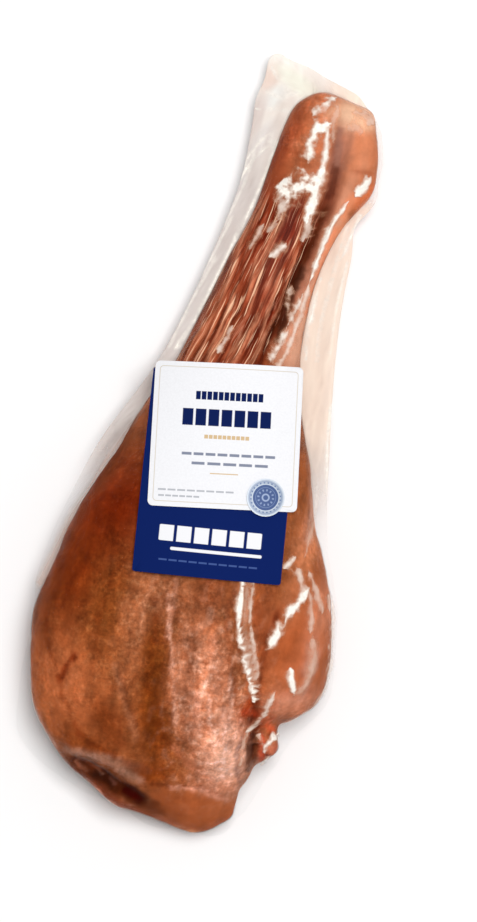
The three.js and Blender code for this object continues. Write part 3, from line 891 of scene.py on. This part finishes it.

# %% [markdown]
# ### Where the film is milky
#
# Flat against the meat the film is clear. In the flap two sheets lie on each other, and there, and along
# old folds, the film turns milky. Its tint paints the light and shade round it: greyer where the leg
# shades the flap, warm cream where the meat lights it. How milky each point is, and in what tint, is kept
# on the points, and one material reads it everywhere.

# %% Make the flap milky
# The folds are painted as white lines through the crease gleam: painted highlights along them.
FOLDS = [  # long folds in the flap: line, width and strength
    ([(-15, 195), (-4, 197), (7, 197)], 1.0, 0.85),
    ([(-15, 160), (-12, 170), (-5, 180), (3, 187)], 1.0, 0.8),
    ([(-18, 148), (-10, 166), (2, 182)], 1.1, 0.9),
    ([(-10, 222), (-2, 212), (8, 206)], 1.2, 0.8),
    ([(-12, 206), (0, 204), (10, 210)], 1.6, 0.6),
    ([(4, 186), (1, 170), (-2, 154), (-6, 138), (-12, 118), (-19, 92), (-27, 66), (-38, 42)], 1.5, 1.0),
    ([(-20, 124), (-12, 152), (-8, 186)], 1.0, 0.6),
    ([(-32, 82), (-22, 110), (-15, 134)], 1.0, 0.7),
    ([(-40, 44), (-30, 80), (-19, 112)], 1.0, 0.7),
    ([(42, 108), (41, 92), (39, 74), (41, 52)], 1.0, 1.0),
    ([(58, 148), (54, 132), (51, 116)], 1.2, 0.8),
    ([(52, 142), (48, 110), (46, 80), (48, 50)], 1.3, 0.6),
    ([(55, 120), (53, 90), (54, 56)], 1.0, 0.6),
    ([(60, 40), (62, 10), (68, -24)], 1.2, 0.7),
]
# The facets paint how flat parts of the flap are lit: lighter ones painted light, greyer ones painted
# shade.
FACETS = [  # flat facets in the flap: centre, half-width along and across, turn and colour
    (-9, 214, 9, 6, 80, (246, 222, 208)),
    (8, 214, 16, 6, -28, (255, 252, 236)),
    (-4, 204, 9, 5, 60, (252, 250, 244)),
    (-13, 190, 16, 5, 78, (232, 216, 208)),
    (-8, 176, 16, 5, 66, (236, 226, 220)),
    (-18, 152, 18, 5, 74, (226, 218, 214)),
]
# the film is folded under itself along this line
DOUBLED = [(-52, 2), (-60, -18), (-67, -38), (-75, -56), (-81, -78), (-87, -98)]
x, y, _ = sheet_points.T
streak = rough(sheet_points, 5, 13, (0.5, 5, 1)) + 0.6 * rough(sheet_points, 14, 14, (0.6, 2, 1))
flap = ease(0.15, 0.85, smoothed(beside, links, 3))
hock_side = ease(50, 58, x) * ease(148, 156, y)
milky = 0.02 + 0.8 * ease(-50, 30, y) * (1 - 0.93 * hock_side)
haze = flap * np.clip(milky * (1 + 0.12 * streak), 0.01, 0.95)
away, _ = near_line(DOUBLED, x, y)
haze = np.maximum(haze, 0.55 * flap * np.exp(-((away / 3.0) ** 2)))
for line, width, strength in FOLDS:
    away, along = near_line(line, x, y)
    away = np.abs(away) / width + NO_CREASE * (1 - tapered(along, 0.06)) + NO_CREASE * (1 - flap)
    shine_of_crease = np.where(away < away_from_crease, strength, shine_of_crease)
    away_from_crease = np.minimum(away, away_from_crease)
shine_of_crease = np.where(flap > 0.5, np.minimum(shine_of_crease, 0.9), shine_of_crease)
print("milky by up to", haze.max().round(2))

# %% Tint the flap
# The flap's tint is painted light and shade: greyer on the left, where the leg shades it, darker and pinker
# low down by the thigh, lighter at the top, and warm cream on the right, lit by the meat.
warm = ease(14, 34, x) * ease(-70, 20, y)
film_tint = laid_over(linear(229, 219, 213), (254, 232, 214), warm)
film_tint = laid_over(film_tint, (254, 244, 234), ease(140, 196, y) * (1 - warm))
film_tint = laid_over(film_tint, (222, 192, 176), ease(10, -30, y) * (1 - warm))
for *oval, colour in FACETS:
    film_tint = laid_over(film_tint, colour, in_patch(x, y, *oval, 2))
film_tint = film_tint * (1 + 0.06 * streak[:, None] * np.array([0.5, 1.0, 1.2]))
# Over the meat the tint is peach: it colours the painted glow at the film's edges and the fringes of the
# painted gleams.
film_tint = laid_over(film_tint, (240, 172, 130), 1 - flap)
print("tinted", len(FACETS), "facets")


# %% Keep on the film what its material reads
def keep_on_film(sheet, haze, away, shine, tear, gloss, tint):
    """Store, for each point: how milky the film is, how far the nearest crease is, how bright and how
    torn that crease's gleam is, how strongly the film mirrors, and the tint of its milk."""
    store(sheet, "haze", haze)
    store(sheet, "crease_away", away)
    store(sheet, "crease_shine", shine)
    store(sheet, "crease_tear", tear)
    store(sheet, "gloss", gloss)
    store_colour(sheet, "film_tint", tint)


gloss = (0.3 + 0.1 * ease(30, 60, y)) * (1 - flap)
film_tint = np.clip(film_tint, 0, 1)
keep_on_film(front, haze, away_from_crease, shine_of_crease, tear_of_crease, gloss, film_tint)
give_thickness(front)

# %% [markdown]
# ### The back film
#
# The back film is made in the same way as the front one, but the leg's weight presses it flat on the
# floor and no crease of it is seen. So it only waves a little in the flap, under the front film, and
# keeps just above the floor.

# %% Draw the back film onto the meat
BACK_CLING = 0.5  # the back film's distance from the meat
OFF_FLOOR = SHEET + 0.02  # the least height of its inner face

back = film_sheet("pouch_back_film", "pouch_back", -1)
refine(back, lambda places: np.full(len(places), True), 0.0)
sheet_points, lying, beside, links = drape(back, BACK_CLING)
sheet_points = flap_pulled(sheet_points, beside, links)
sheet_points[:, 2] = np.maximum(sheet_points[:, 2], OFF_FLOOR)
loose = smoothed(1 - lying, links, 2)
sheet_points[:, 2] += waves(sheet_points, 1.2, 0.5) * ease(0.5, 1, loose) - 0.4 * loose
sheet_points[:, 2] = np.maximum(sheet_points[:, 2], OFF_FLOOR)
set_points(back, sheet_points)
flap = ease(0.25, 0.75, smoothed(beside, links, 1))
haze = flap * (0.01 + 0.25 * ease(-60, 20, sheet_points[:, 1]))
nothing = np.zeros(len(sheet_points))
pale_film = np.tile(linear(250, 244, 240), (len(sheet_points), 1))
keep_on_film(back, haze, nothing + NO_CREASE, nothing, nothing + 1, 0.1 * (1 - flap), pale_film)
give_thickness(back)

# %% [markdown]
# ## The labels
#
# The real labels are thin paper, bent over the crown of the leg. Their solids already lie right, so
# each label is a copy whose facets are shaded smooth, with its cut edges kept sharp. What is printed on
# them is left to their materials.

# %% Smooth copies of the labels
labels = {}
for node in ("backing_label", "front_label", "foil_seal"):
    piece = copy_of(node, node + "_print")
    bpy.ops.object.shade_smooth_by_angle(angle=math.radians(30))
    labels[node] = piece
print("labels:", ", ".join(piece.name for piece in labels.values()))

# %% [markdown]
# ## Finishes
#
# Every finish here is made of a few steps that come again and again: a noise, a ramp, a colour mixed
# over another. Each of these is a short function that adds the nodes for it, so that a material reads
# like a recipe.


# %% Tools for materials
def new_material(name):
    made = bpy.data.materials.new(name)
    made.use_nodes = True
    made.node_tree.nodes.clear()
    return made, made.node_tree


def put(tree, kind, settings=None, **inputs):
    """Add a node, set its options, and set or link its inputs by name or, as i0, i1, by place."""
    node = tree.nodes.new("ShaderNode" + kind)
    for key, value in (settings or {}).items():
        setattr(node, key, value)
    for key, value in inputs.items():
        place = int(key[1:]) if key[0] == "i" and key[1:].isdigit() else key.replace("_", " ")
        socket = node.inputs[place]
        if isinstance(value, bpy.types.NodeSocket):
            tree.links.new(value, socket)
        else:
            socket.default_value = value
    return node


def attribute(tree, name, output="Fac"):
    return put(tree, "Attribute", {"attribute_name": name}).outputs[output]


def maths(tree, operation, a, b=0.0, clamp=False):
    return put(tree, "Math", {"operation": operation, "use_clamp": clamp}, i0=a, i1=b).outputs[0]


def mix_colour(tree, share, a, b, blend="MIX"):
    node = put(tree, "Mix", {"data_type": "RGBA", "blend_type": blend}, i0=share, i6=a, i7=b)
    return node.outputs[2]


def rgba(colour):
    return (*[float(c) for c in colour], 1.0)


def noise_at(tree, place, scale, detail=2.0, roughness=0.5):
    """A soft noise, with values round 0.5."""
    return put(tree, "TexNoise", Vector=place, Scale=scale, Detail=detail, Roughness=roughness).outputs[0]


def squeezed(tree, place, scale, start=(0, 0, 0)):
    """Places scaled along each axis, so that a noise drawn there comes out long and thin."""
    return put(tree, "Mapping", Vector=place, Location=start, Scale=scale).outputs[0]


def ramp(tree, value, low, high, bottom=0.0, top=1.0):
    """A value read on a ramp that is bottom at low and top at high."""
    return put(
        tree, "MapRange", Value=value, From_Min=low, From_Max=high, To_Min=bottom, To_Max=top
    ).outputs[0]


def shaded(tree, share, colour, shade):
    """A colour multiplied by a grey shade or by another colour, as far as share says."""
    return mix_colour(tree, share, colour, shade, "MULTIPLY")


def inked(tree, share, colour, ink):
    """A flat ink laid over a colour, as far as share says."""
    return mix_colour(tree, share, colour, rgba(ink))


def finish_with(tree, shader):
    put(tree, "OutputMaterial", Surface=shader)


def wear(piece, made):
    piece.data.materials.clear()
    piece.data.materials.append(made)


# %% [markdown]
# ### Cured meat
#
# Cured meat is dull and never one colour. Over the broad colours kept on the leg's points go a soft
# clouding, fibres and specks of fat and lean where the meat is mottled, and on the shank a long grain of
# dark gaps, pale threads and a few bright painted glints. All are noises, and the grain is drawn in a
# place of its own that runs along the strands.

# %% The mottle of the meat
GAP_RED, THREAD, GLINT_PALE = linear(84, 18, 6), linear(222, 152, 120), linear(244, 194, 158)
FAT_LIGHT, LEAN_DARK = (1.75, 2.3, 2.9, 1), (0.6, 0.42, 0.3, 1)  # what fat and lean do to a colour

meat, tree = new_material("cured_meat")
place = put(tree, "TexCoord").outputs["Object"]
colour = attribute(tree, "tint", "Color")
mottled = attribute(tree, "mottled")
cloudy = maths(tree, "ADD", maths(tree, "MULTIPLY", mottled, 1.4), 0.4, clamp=True)
cloud = noise_at(tree, place, 110.0, 4.0, 0.6)
colour = shaded(tree, cloudy, colour, ramp(tree, cloud, 0.3, 0.7, 0.68, 1.32))
fibre = noise_at(tree, squeezed(tree, place, (130, 20, 60)), 1.0, 3.0, 0.55)
colour = shaded(tree, cloudy, colour, ramp(tree, fibre, 0.3, 0.7, 0.72, 1.27))
specks = noise_at(tree, place, 560.0, 2.0, 0.6)
speckled = maths(tree, "MULTIPLY", mottled, 1.6, clamp=True)
colour = shaded(tree, speckled, colour, ramp(tree, specks, 0.32, 0.68, 0.8, 1.26))
fine = noise_at(tree, place, 260.0, 3.0, 0.55)
fat = maths(tree, "MULTIPLY", ramp(tree, fine, 0.5, 0.72, 0.0, 0.75), mottled, clamp=True)
colour = mix_colour(tree, fat, colour, shaded(tree, 1.0, colour, FAT_LIGHT))
lean = maths(tree, "MULTIPLY", ramp(tree, fine, 0.46, 0.28, 0.0, 0.6), mottled, clamp=True)
colour = mix_colour(tree, lean, colour, shaded(tree, 1.0, colour, LEAN_DARK))
print("mottle:", len(tree.nodes), "nodes")

# %% The grain of the shank
grain_place = attribute(tree, "grain_place", "Vector")
shank = attribute(tree, "shank")


def on_the_shank(share):
    return maths(tree, "MULTIPLY", share, shank)


bands = noise_at(tree, squeezed(tree, grain_place, (0.42, 0.035, 0.2), (2, 9, 4)), 1.0)
banded = shaded(tree, 1.0, colour, ramp(tree, bands, 0.36, 0.64, 0.56, 1.3))
colour = mix_colour(tree, shank, colour, banded)
grain = noise_at(tree, squeezed(tree, grain_place, (0.9, 0.055, 0.4)), 1.0, 3.0, 0.6)
colour = inked(tree, on_the_shank(ramp(tree, grain, 0.55, 0.68, 0.0, 0.42)), colour, THREAD)
colour = inked(tree, on_the_shank(ramp(tree, grain, 0.47, 0.36, 0.0, 0.6)), colour, GAP_RED)
# Painted glints: thin pale highlights along the strands of the shank.
glints = noise_at(tree, squeezed(tree, grain_place, (0.9, 0.028, 0.4), (7, 3, 1)), 1.0)
colour = inked(tree, on_the_shank(ramp(tree, glints, 0.595, 0.675, 0.0, 0.85)), colour, GLINT_PALE)
bump = put(tree, "Bump", Height=fine, Distance=0.4 * MM, Strength=0.4).outputs[0]
shader = put(tree, "BsdfPrincipled", Base_Color=colour, Roughness=0.7, Normal=bump)
shader.inputs["Specular IOR Level"].default_value = 0.02
finish_with(tree, shader.outputs[0])
wear(leg, meat)
print("cured meat:", len(tree.nodes), "nodes")

# %% [markdown]
# ### Clear film
#
# Clean film over meat is hardly seen but for its gleams. A thin sheet needs no glass: a transparent
# shader lets the meat show, a white one stands for the milky places and paints the gleams as highlights,
# and a weak mirror grows at a glancing angle. At a glancing angle the white one also paints a glow along
# the film's edges. Which of them shows comes from what is kept on the film's points. The painted gleam
# on a crease is white along its middle, and torn and tinted by the meat at its edges.

# %% The painted gleam on the creases
PAINTED_GLEAM_WHITE = linear(255, 248, 238)

film, tree = new_material("clear_film")
place = put(tree, "TexCoord").outputs["Object"]
fine = noise_at(tree, place, 520.0, 3.0, 0.6)
coarse = noise_at(tree, place, 190.0)
frayed = maths(tree, "MULTIPLY", maths(tree, "SUBTRACT", fine, 0.5), 0.4)
frayed = maths(tree, "ADD", frayed, maths(tree, "MULTIPLY", maths(tree, "SUBTRACT", coarse, 0.5), 1.7))
frayed = maths(tree, "MULTIPLY", frayed, attribute(tree, "crease_tear"))
away = maths(tree, "ADD", attribute(tree, "crease_away"), frayed)
soft_edge = {"interpolation_type": "SMOOTHERSTEP"}
streak = put(tree, "MapRange", soft_edge, Value=away, From_Min=2.0, From_Max=-0.5).outputs[0]
gleam = maths(tree, "MULTIPLY", streak, attribute(tree, "crease_shine"))
gleam = maths(tree, "MULTIPLY", gleam, 1.3, clamp=True)
core = ramp(tree, gleam, 0.15, 1.0)
white = mix_colour(tree, core, attribute(tree, "film_tint", "Color"), rgba(PAINTED_GLEAM_WHITE))
uneven = shaded(tree, 1.0, white, ramp(tree, fine, 0.35, 0.6, 0.84, 1.0))
white = mix_colour(tree, gleam, white, uneven)
print("gleam:", len(tree.nodes), "nodes")

# %% Clear, milky and mirroring film
bump = put(tree, "Bump", Height=fine, Distance=0.2 * MM, Strength=0.3).outputs[0]
facing = put(tree, "LayerWeight", Blend=0.5, Normal=bump).outputs["Facing"]
gloss = attribute(tree, "gloss")
# Painted edge glow: at a glancing angle the film turns to its tint, peach over the meat.
glancing = maths(tree, "POWER", facing, 9.0)
edge = maths(tree, "MULTIPLY", glancing, maths(tree, "MULTIPLY", gloss, 2.6), clamp=True)
milk_and_painted_light = maths(tree, "MAXIMUM", maths(tree, "MAXIMUM", attribute(tree, "haze"), gleam), edge)
clear = put(tree, "BsdfTransparent").outputs[0]
white_face = put(tree, "BsdfDiffuse", Color=white, Normal=bump).outputs[0]
lit_through = put(tree, "BsdfTranslucent", Color=white).outputs[0]
milky_face = put(tree, "MixShader", i0=0.2, i1=white_face, i2=lit_through).outputs[0]
white_or_milky = put(tree, "MixShader", i0=gleam, i1=milky_face, i2=white_face).outputs[0]
body = put(tree, "MixShader", i0=milk_and_painted_light, i1=clear, i2=white_or_milky).outputs[0]
mirror = put(tree, "BsdfGlossy", Color=(1, 1, 1, 1), Roughness=0.34, Normal=bump).outputs[0]
rise = maths(tree, "MULTIPLY", maths(tree, "POWER", facing, 6.0), 0.6)
strength = maths(tree, "MULTIPLY", maths(tree, "ADD", rise, 0.003), gloss, clamp=True)
finish_with(tree, put(tree, "MixShader", i0=strength, i1=body, i2=mirror).outputs[0])
print("clear film:", len(tree.nodes), "nodes")

# %% Put the film's finish on its outer face
# Its inner face adds nothing to the look of the outer one, so it is wholly clear.
inner_face, tree = new_material("film_inner_face")
finish_with(tree, put(tree, "BsdfTransparent").outputs[0])
for sheet in (front, back):
    sheet.data.materials[0] = film
    sheet.data.materials[1] = inner_face
print("film on", front.name, "and", back.name)

# %% [markdown]
# ### Printed paper
#
# The labels are matt paper printed with plain bars, rows of blocks and thin rules, in the places and
# colours of their printing but with no lettering. Drawing each mark in the material keeps its edge sharp
# at any size. One node group tells how far every place is from a bar with rounded corners, and each mark
# on either label is that group with other numbers.


# %% A printed bar
def bar_group():
    """A node group: how far outside a bar with rounded corners each place is, negative inside."""
    group = bpy.data.node_groups.new("printed bar", "ShaderNodeTree")
    for name, kind in (("Place", "Vector"), ("Centre", "Vector"), ("Half", "Vector"), ("Corner", "Float")):
        group.interface.new_socket(name, in_out="INPUT", socket_type="NodeSocket" + kind)
    group.interface.new_socket("Distance", in_out="OUTPUT", socket_type="NodeSocketFloat")
    given = group.nodes.new("NodeGroupInput").outputs
    away = put(group, "VectorMath", {"operation": "SUBTRACT"}, i0=given["Place"], i1=given["Centre"])
    away = put(group, "VectorMath", {"operation": "ABSOLUTE"}, i0=away.outputs[0])
    past = put(group, "VectorMath", {"operation": "SUBTRACT"}, i0=away.outputs[0], i1=given["Half"])
    past = put(group, "VectorMath", {"operation": "ADD"}, i0=past.outputs[0], i1=given["Corner"])
    parts = put(group, "SeparateXYZ", Vector=past.outputs[0]).outputs
    inner = maths(group, "MINIMUM", maths(group, "MAXIMUM", parts[0], parts[1]), 0.0)
    across = maths(group, "MAXIMUM", parts[0], 0.0)
    along = maths(group, "MAXIMUM", parts[1], 0.0)
    square = maths(group, "ADD", maths(group, "POWER", across, 2.0), maths(group, "POWER", along, 2.0))
    distance = maths(group, "ADD", maths(group, "SQRT", square), inner)
    distance = maths(group, "SUBTRACT", distance, given["Corner"])
    result = group.nodes.new("NodeGroupOutput")
    group.links.new(distance, result.inputs[0])
    return group


BAR = bar_group()
INK_EDGE = 0.12  # how far a printed edge takes to fade, in millimetres
BLOCK_GAP = (0.07, 0.11)  # where the gap between blocks ends and a block begins, in steps
print("bar:", len(BAR.nodes), "nodes")


# %% Paper with printed marks
def printed_place(tree, centre, turn=0.0):
    """Places in millimetres from a label's centre, along its own sides."""
    return put(
        tree, "Mapping", {"vector_type": "TEXTURE"},
        Vector=put(tree, "TexCoord").outputs["Object"],
        Location=(centre[0] * MM, centre[1] * MM, 0),
        Rotation=(0, 0, math.radians(turn)),
        Scale=(MM, MM, MM),
    ).outputs[0]


def print_bar(tree, place, colour, ink, centre, half, corner=0.0, line=None, step=None):
    """Print one bar over a colour. With a line width, only its outline is printed. With a step, the
    bar is broken into blocks that far apart."""
    node = tree.nodes.new("ShaderNodeGroup")
    node.node_tree = BAR
    tree.links.new(place, node.inputs["Place"])
    node.inputs["Centre"].default_value = (*centre, 0)
    node.inputs["Half"].default_value = (*half, 0)
    node.inputs["Corner"].default_value = corner
    distance = node.outputs[0]
    if line:
        distance = maths(tree, "SUBTRACT", maths(tree, "ABSOLUTE", distance), line / 2)
    share = ramp(tree, distance, INK_EDGE, -INK_EDGE)
    if step:
        along = put(tree, "SeparateXYZ", Vector=place).outputs[0]
        along = maths(tree, "SUBTRACT", along, centre[0] - half[0])
        within = maths(tree, "PINGPONG", along, step / 2)
        in_a_block = ramp(tree, within, BLOCK_GAP[0] * step, BLOCK_GAP[1] * step)
        share = maths(tree, "MULTIPLY", share, in_a_block)
    return inked(tree, share, colour, ink)


def paper(name, ground, centre, turn, marks):
    """Matt paper of one colour with printed marks."""
    made, tree = new_material(name)
    place = printed_place(tree, centre, turn)
    flat = put(tree, "VectorMath", {"operation": "MULTIPLY"}, i0=place, i1=(1, 1, 0)).outputs[0]
    fibre = noise_at(tree, put(tree, "TexCoord").outputs["Object"], 900.0)
    colour = shaded(tree, 1.0, rgba(ground), ramp(tree, fibre, 0.3, 0.7, 0.97, 1.02))
    for mark in marks:
        colour = print_bar(tree, flat, colour, **mark)
    shader = put(tree, "BsdfPrincipled", Base_Color=colour, Roughness=0.8)
    shader.inputs["Specular IOR Level"].default_value = 0.08
    finish_with(tree, shader.outputs[0])
    return made


def mark(ink, centre, half, corner=0.0, line=None, step=None):
    """One printed mark: its ink, its centre and half-sizes in millimetres from the label's centre, and
    its corner, outline width and block step."""
    return {"ink": ink, "centre": centre, "half": half, "corner": corner, "line": line, "step": step}


# %% Print the labels
NAVY, GOLD, GREY = linear(6, 26, 80), linear(206, 178, 138), linear(128, 134, 152)
PALE_GOLD, PALE_GREY, WHITE = linear(206, 196, 180), linear(176, 178, 184), linear(232, 232, 235)
BLUE, PALE_BLUE = linear(4, 28, 90), linear(62, 84, 140)

front_marks = [
    mark(PALE_GOLD, (0, 0), (39.6, 38.6), 2.0, line=0.4),
    mark(NAVY, (1, 22.5), (19.5, 2.4), 0.4, step=3.25),
    mark(NAVY, (0, 10), (25.9, 4.8), 0.6, step=7.4),
    mark(GOLD, (0.5, -1), (13, 1.1), 0.3, step=2.6),
    mark(GREY, (2, -11), (27.2, 0.8), 0.3, step=6.8),
    mark(GREY, (3, -16.3), (22.5, 0.8), 0.3, step=9.0),
    mark(GOLD, (0, -21.8), (8, 0.3)),
    mark(PALE_GREY, (-15.5, -32), (22, 0.5), 0.2, step=5.5),
    mark(PALE_GREY, (-25, -35.4), (12, 0.5), 0.2, step=4.0),
]
backing_marks = [
    mark(WHITE, (0, -35), (30, 4.5), 2.0, step=10.0),
    mark(WHITE, (4, -43.6), (26, 0.9), 0.8),
    mark(PALE_BLUE, (0, -50.2), (28.5, 0.5), 0.2, step=5.7),
]
wear(labels["front_label"], paper("white_paper", WHITE, (3.5, 4.5), 7.4, front_marks))
wear(labels["backing_label"], paper("blue_paper", BLUE, (2.3, -18.5), 4.6, backing_marks))
print("printed", len(front_marks) + len(backing_marks), "marks")

# %% [markdown]
# ### The foil seal
#
# The round seal is silver foil with a blue disc, rings, a circle of ticks and a circle of beads. All of
# them depend only on how far a place is from the seal's centre and in which direction, so two numbers
# worked out once draw the whole of it.

# %% Measure round the seal
SEAL_CENTRE = (32, -26)

foil, tree = new_material("seal_foil")
parts = put(tree, "SeparateXYZ", Vector=printed_place(tree, SEAL_CENTRE)).outputs
square = maths(tree, "ADD", maths(tree, "POWER", parts[0], 2.0), maths(tree, "POWER", parts[1], 2.0))
radius = maths(tree, "SQRT", square)
turn = maths(tree, "ARCTAN2", parts[1], parts[0])


def from_circle(size):
    """How far each place is from a circle of the given radius, inwards or outwards."""
    return maths(tree, "ABSOLUTE", maths(tree, "SUBTRACT", radius, size))


def ring(colour, ink, inner, outer):
    """A plain ring between two radii."""
    past = maths(tree, "SUBTRACT", from_circle((inner + outer) / 2), (outer - inner) / 2)
    return inked(tree, ramp(tree, past, INK_EDGE, -INK_EDGE), colour, ink)


def ring_of_marks(colour, ink, count, size, fade, start, full):
    """Marks all round a circle. fade says how far from it they end and from where they are full, and
    start and full say the same round the circle, as values of a cosine."""
    near = ramp(tree, from_circle(size), *fade)
    round_it = maths(tree, "COSINE", maths(tree, "MULTIPLY", turn, count))
    share = maths(tree, "MULTIPLY", near, ramp(tree, round_it, start, full))
    return inked(tree, share, colour, ink)


# %% Draw the seal from the outside in
SILVER = linear(166, 177, 194)

colour = ring(rgba(SILVER), linear(206, 214, 224), 10.0, 11.5)
colour = ring(colour, linear(108, 128, 166), 9.0, 9.25)
colour = ring(colour, linear(196, 206, 218), 7.3, 7.8)
colour = ring(colour, linear(60, 84, 134), -1.0, 7.3)
colour = ring_of_marks(colour, linear(92, 114, 156), 24.0, 8.4, (0.45, 0.3), 0.2, 0.5)
colour = ring(colour, linear(120, 140, 178), 5.6, 5.85)
colour = ring_of_marks(colour, linear(132, 150, 186), 12.0, 4.2, (0.8, 0.4), 0.1, 0.6)
colour = ring(colour, linear(150, 166, 198), 1.4, 2.3)
shader = put(tree, "BsdfPrincipled", Base_Color=colour, Metallic=0.2, Roughness=0.5)
finish_with(tree, shader.outputs[0])
wear(labels["foil_seal"], foil)
print("seal:", len(tree.nodes), "nodes")

# %% [markdown]
# ## What each piece stands for
#
# Nothing in the pack moves, so every piece rides on the one body there is and takes the place of its
# solid. The two films are of one stuff and wear one finish.

# %% Say what each piece stands for
PIECES = {
    leg: ("cured_leg", "cured_leg"),
    front: ("pouch_front_film", "pouch_film"),
    back: ("pouch_back_film", "pouch_film"),
    labels["backing_label"]: ("backing_label", "backing_label"),
    labels["front_label"]: ("front_label", "front_label"),
    labels["foil_seal"]: ("foil_seal", "foil_seal"),
}
for piece, (node, slot) in PIECES.items():
    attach(piece, "root")
    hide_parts(node)
print("pieces:", ", ".join(piece.name for piece in PIECES))

# %% [markdown]
# ## Light and camera
#
# A plain white floor lies under one broad soft key light, high up and a little towards the shank and to
# the right, so that shadows are short and soft. The world adds a white glow that is stronger near the
# horizon than overhead, and keeps the flanks open. The camera looks straight down from far off, turned so
# that the shank leans to the right.

# %% The floor
FLOOR_WHITE = (0.93, 0.93, 0.93, 1)

bpy.ops.mesh.primitive_plane_add(size=6.0, location=(0, 0, 0))
floor = bpy.context.object
floor.name = "floor"
matt_white, tree = new_material("floor_white")
finish_with(tree, put(tree, "BsdfDiffuse", Color=FLOOR_WHITE).outputs[0])
wear(floor, matt_white)
print("floor:", floor.name)

# %% The key light and the glow of the world
KEY_PLACE = Vector((0.37, 0.5, 3.06))
KEY_TARGET = Vector((0, 0, 0.03))
KEY_SIZE = 1.3
KEY_POWER = 84  # watts

bpy.ops.object.light_add(type="AREA", location=KEY_PLACE)
key = bpy.context.object
key.name = "key"
key.data.size = KEY_SIZE
key.data.energy = KEY_POWER
key.rotation_euler = (KEY_TARGET - KEY_PLACE).to_track_quat("-Z", "Y").to_euler()
world = bpy.data.worlds.new("studio")
bpy.context.scene.world = world
world.use_nodes = True
tree = world.node_tree
tree.nodes.clear()
height = put(tree, "SeparateXYZ", Vector=put(tree, "TexCoord").outputs["Generated"]).outputs[2]
glow = ramp(tree, height, 0.9, 0.5, 0.2, 0.48)
put(tree, "OutputWorld", Surface=put(tree, "Background", Color=(1, 1, 1, 1), Strength=glow).outputs[0])
print("key light:", KEY_POWER, "W")

# %% The camera
LEAN = math.radians(10.3)  # how far the camera is turned about its own line of sight
VIEW_HEIGHT = 0.5348  # what the picture's long side takes in at the height of the leg's edge
EDGE_LEVEL = 0.026  # the height of the leg's edge
DISTANCE = 2.4  # from the camera down to there
OVER_X, OVER_Y = 0.0131, -0.0083  # the place that the camera looks down on
SENSOR = 36

bpy.ops.object.camera_add(location=(OVER_X, OVER_Y, DISTANCE + EDGE_LEVEL), rotation=(0, 0, LEAN))
camera = bpy.context.object
camera.data.lens = SENSOR * DISTANCE / VIEW_HEIGHT
camera.data.sensor_width = SENSOR
scene = bpy.context.scene
scene.camera = camera
scene.view_settings.view_transform = "Standard"
scene.view_settings.look = "None"
print("lens:", round(camera.data.lens, 1), "mm")
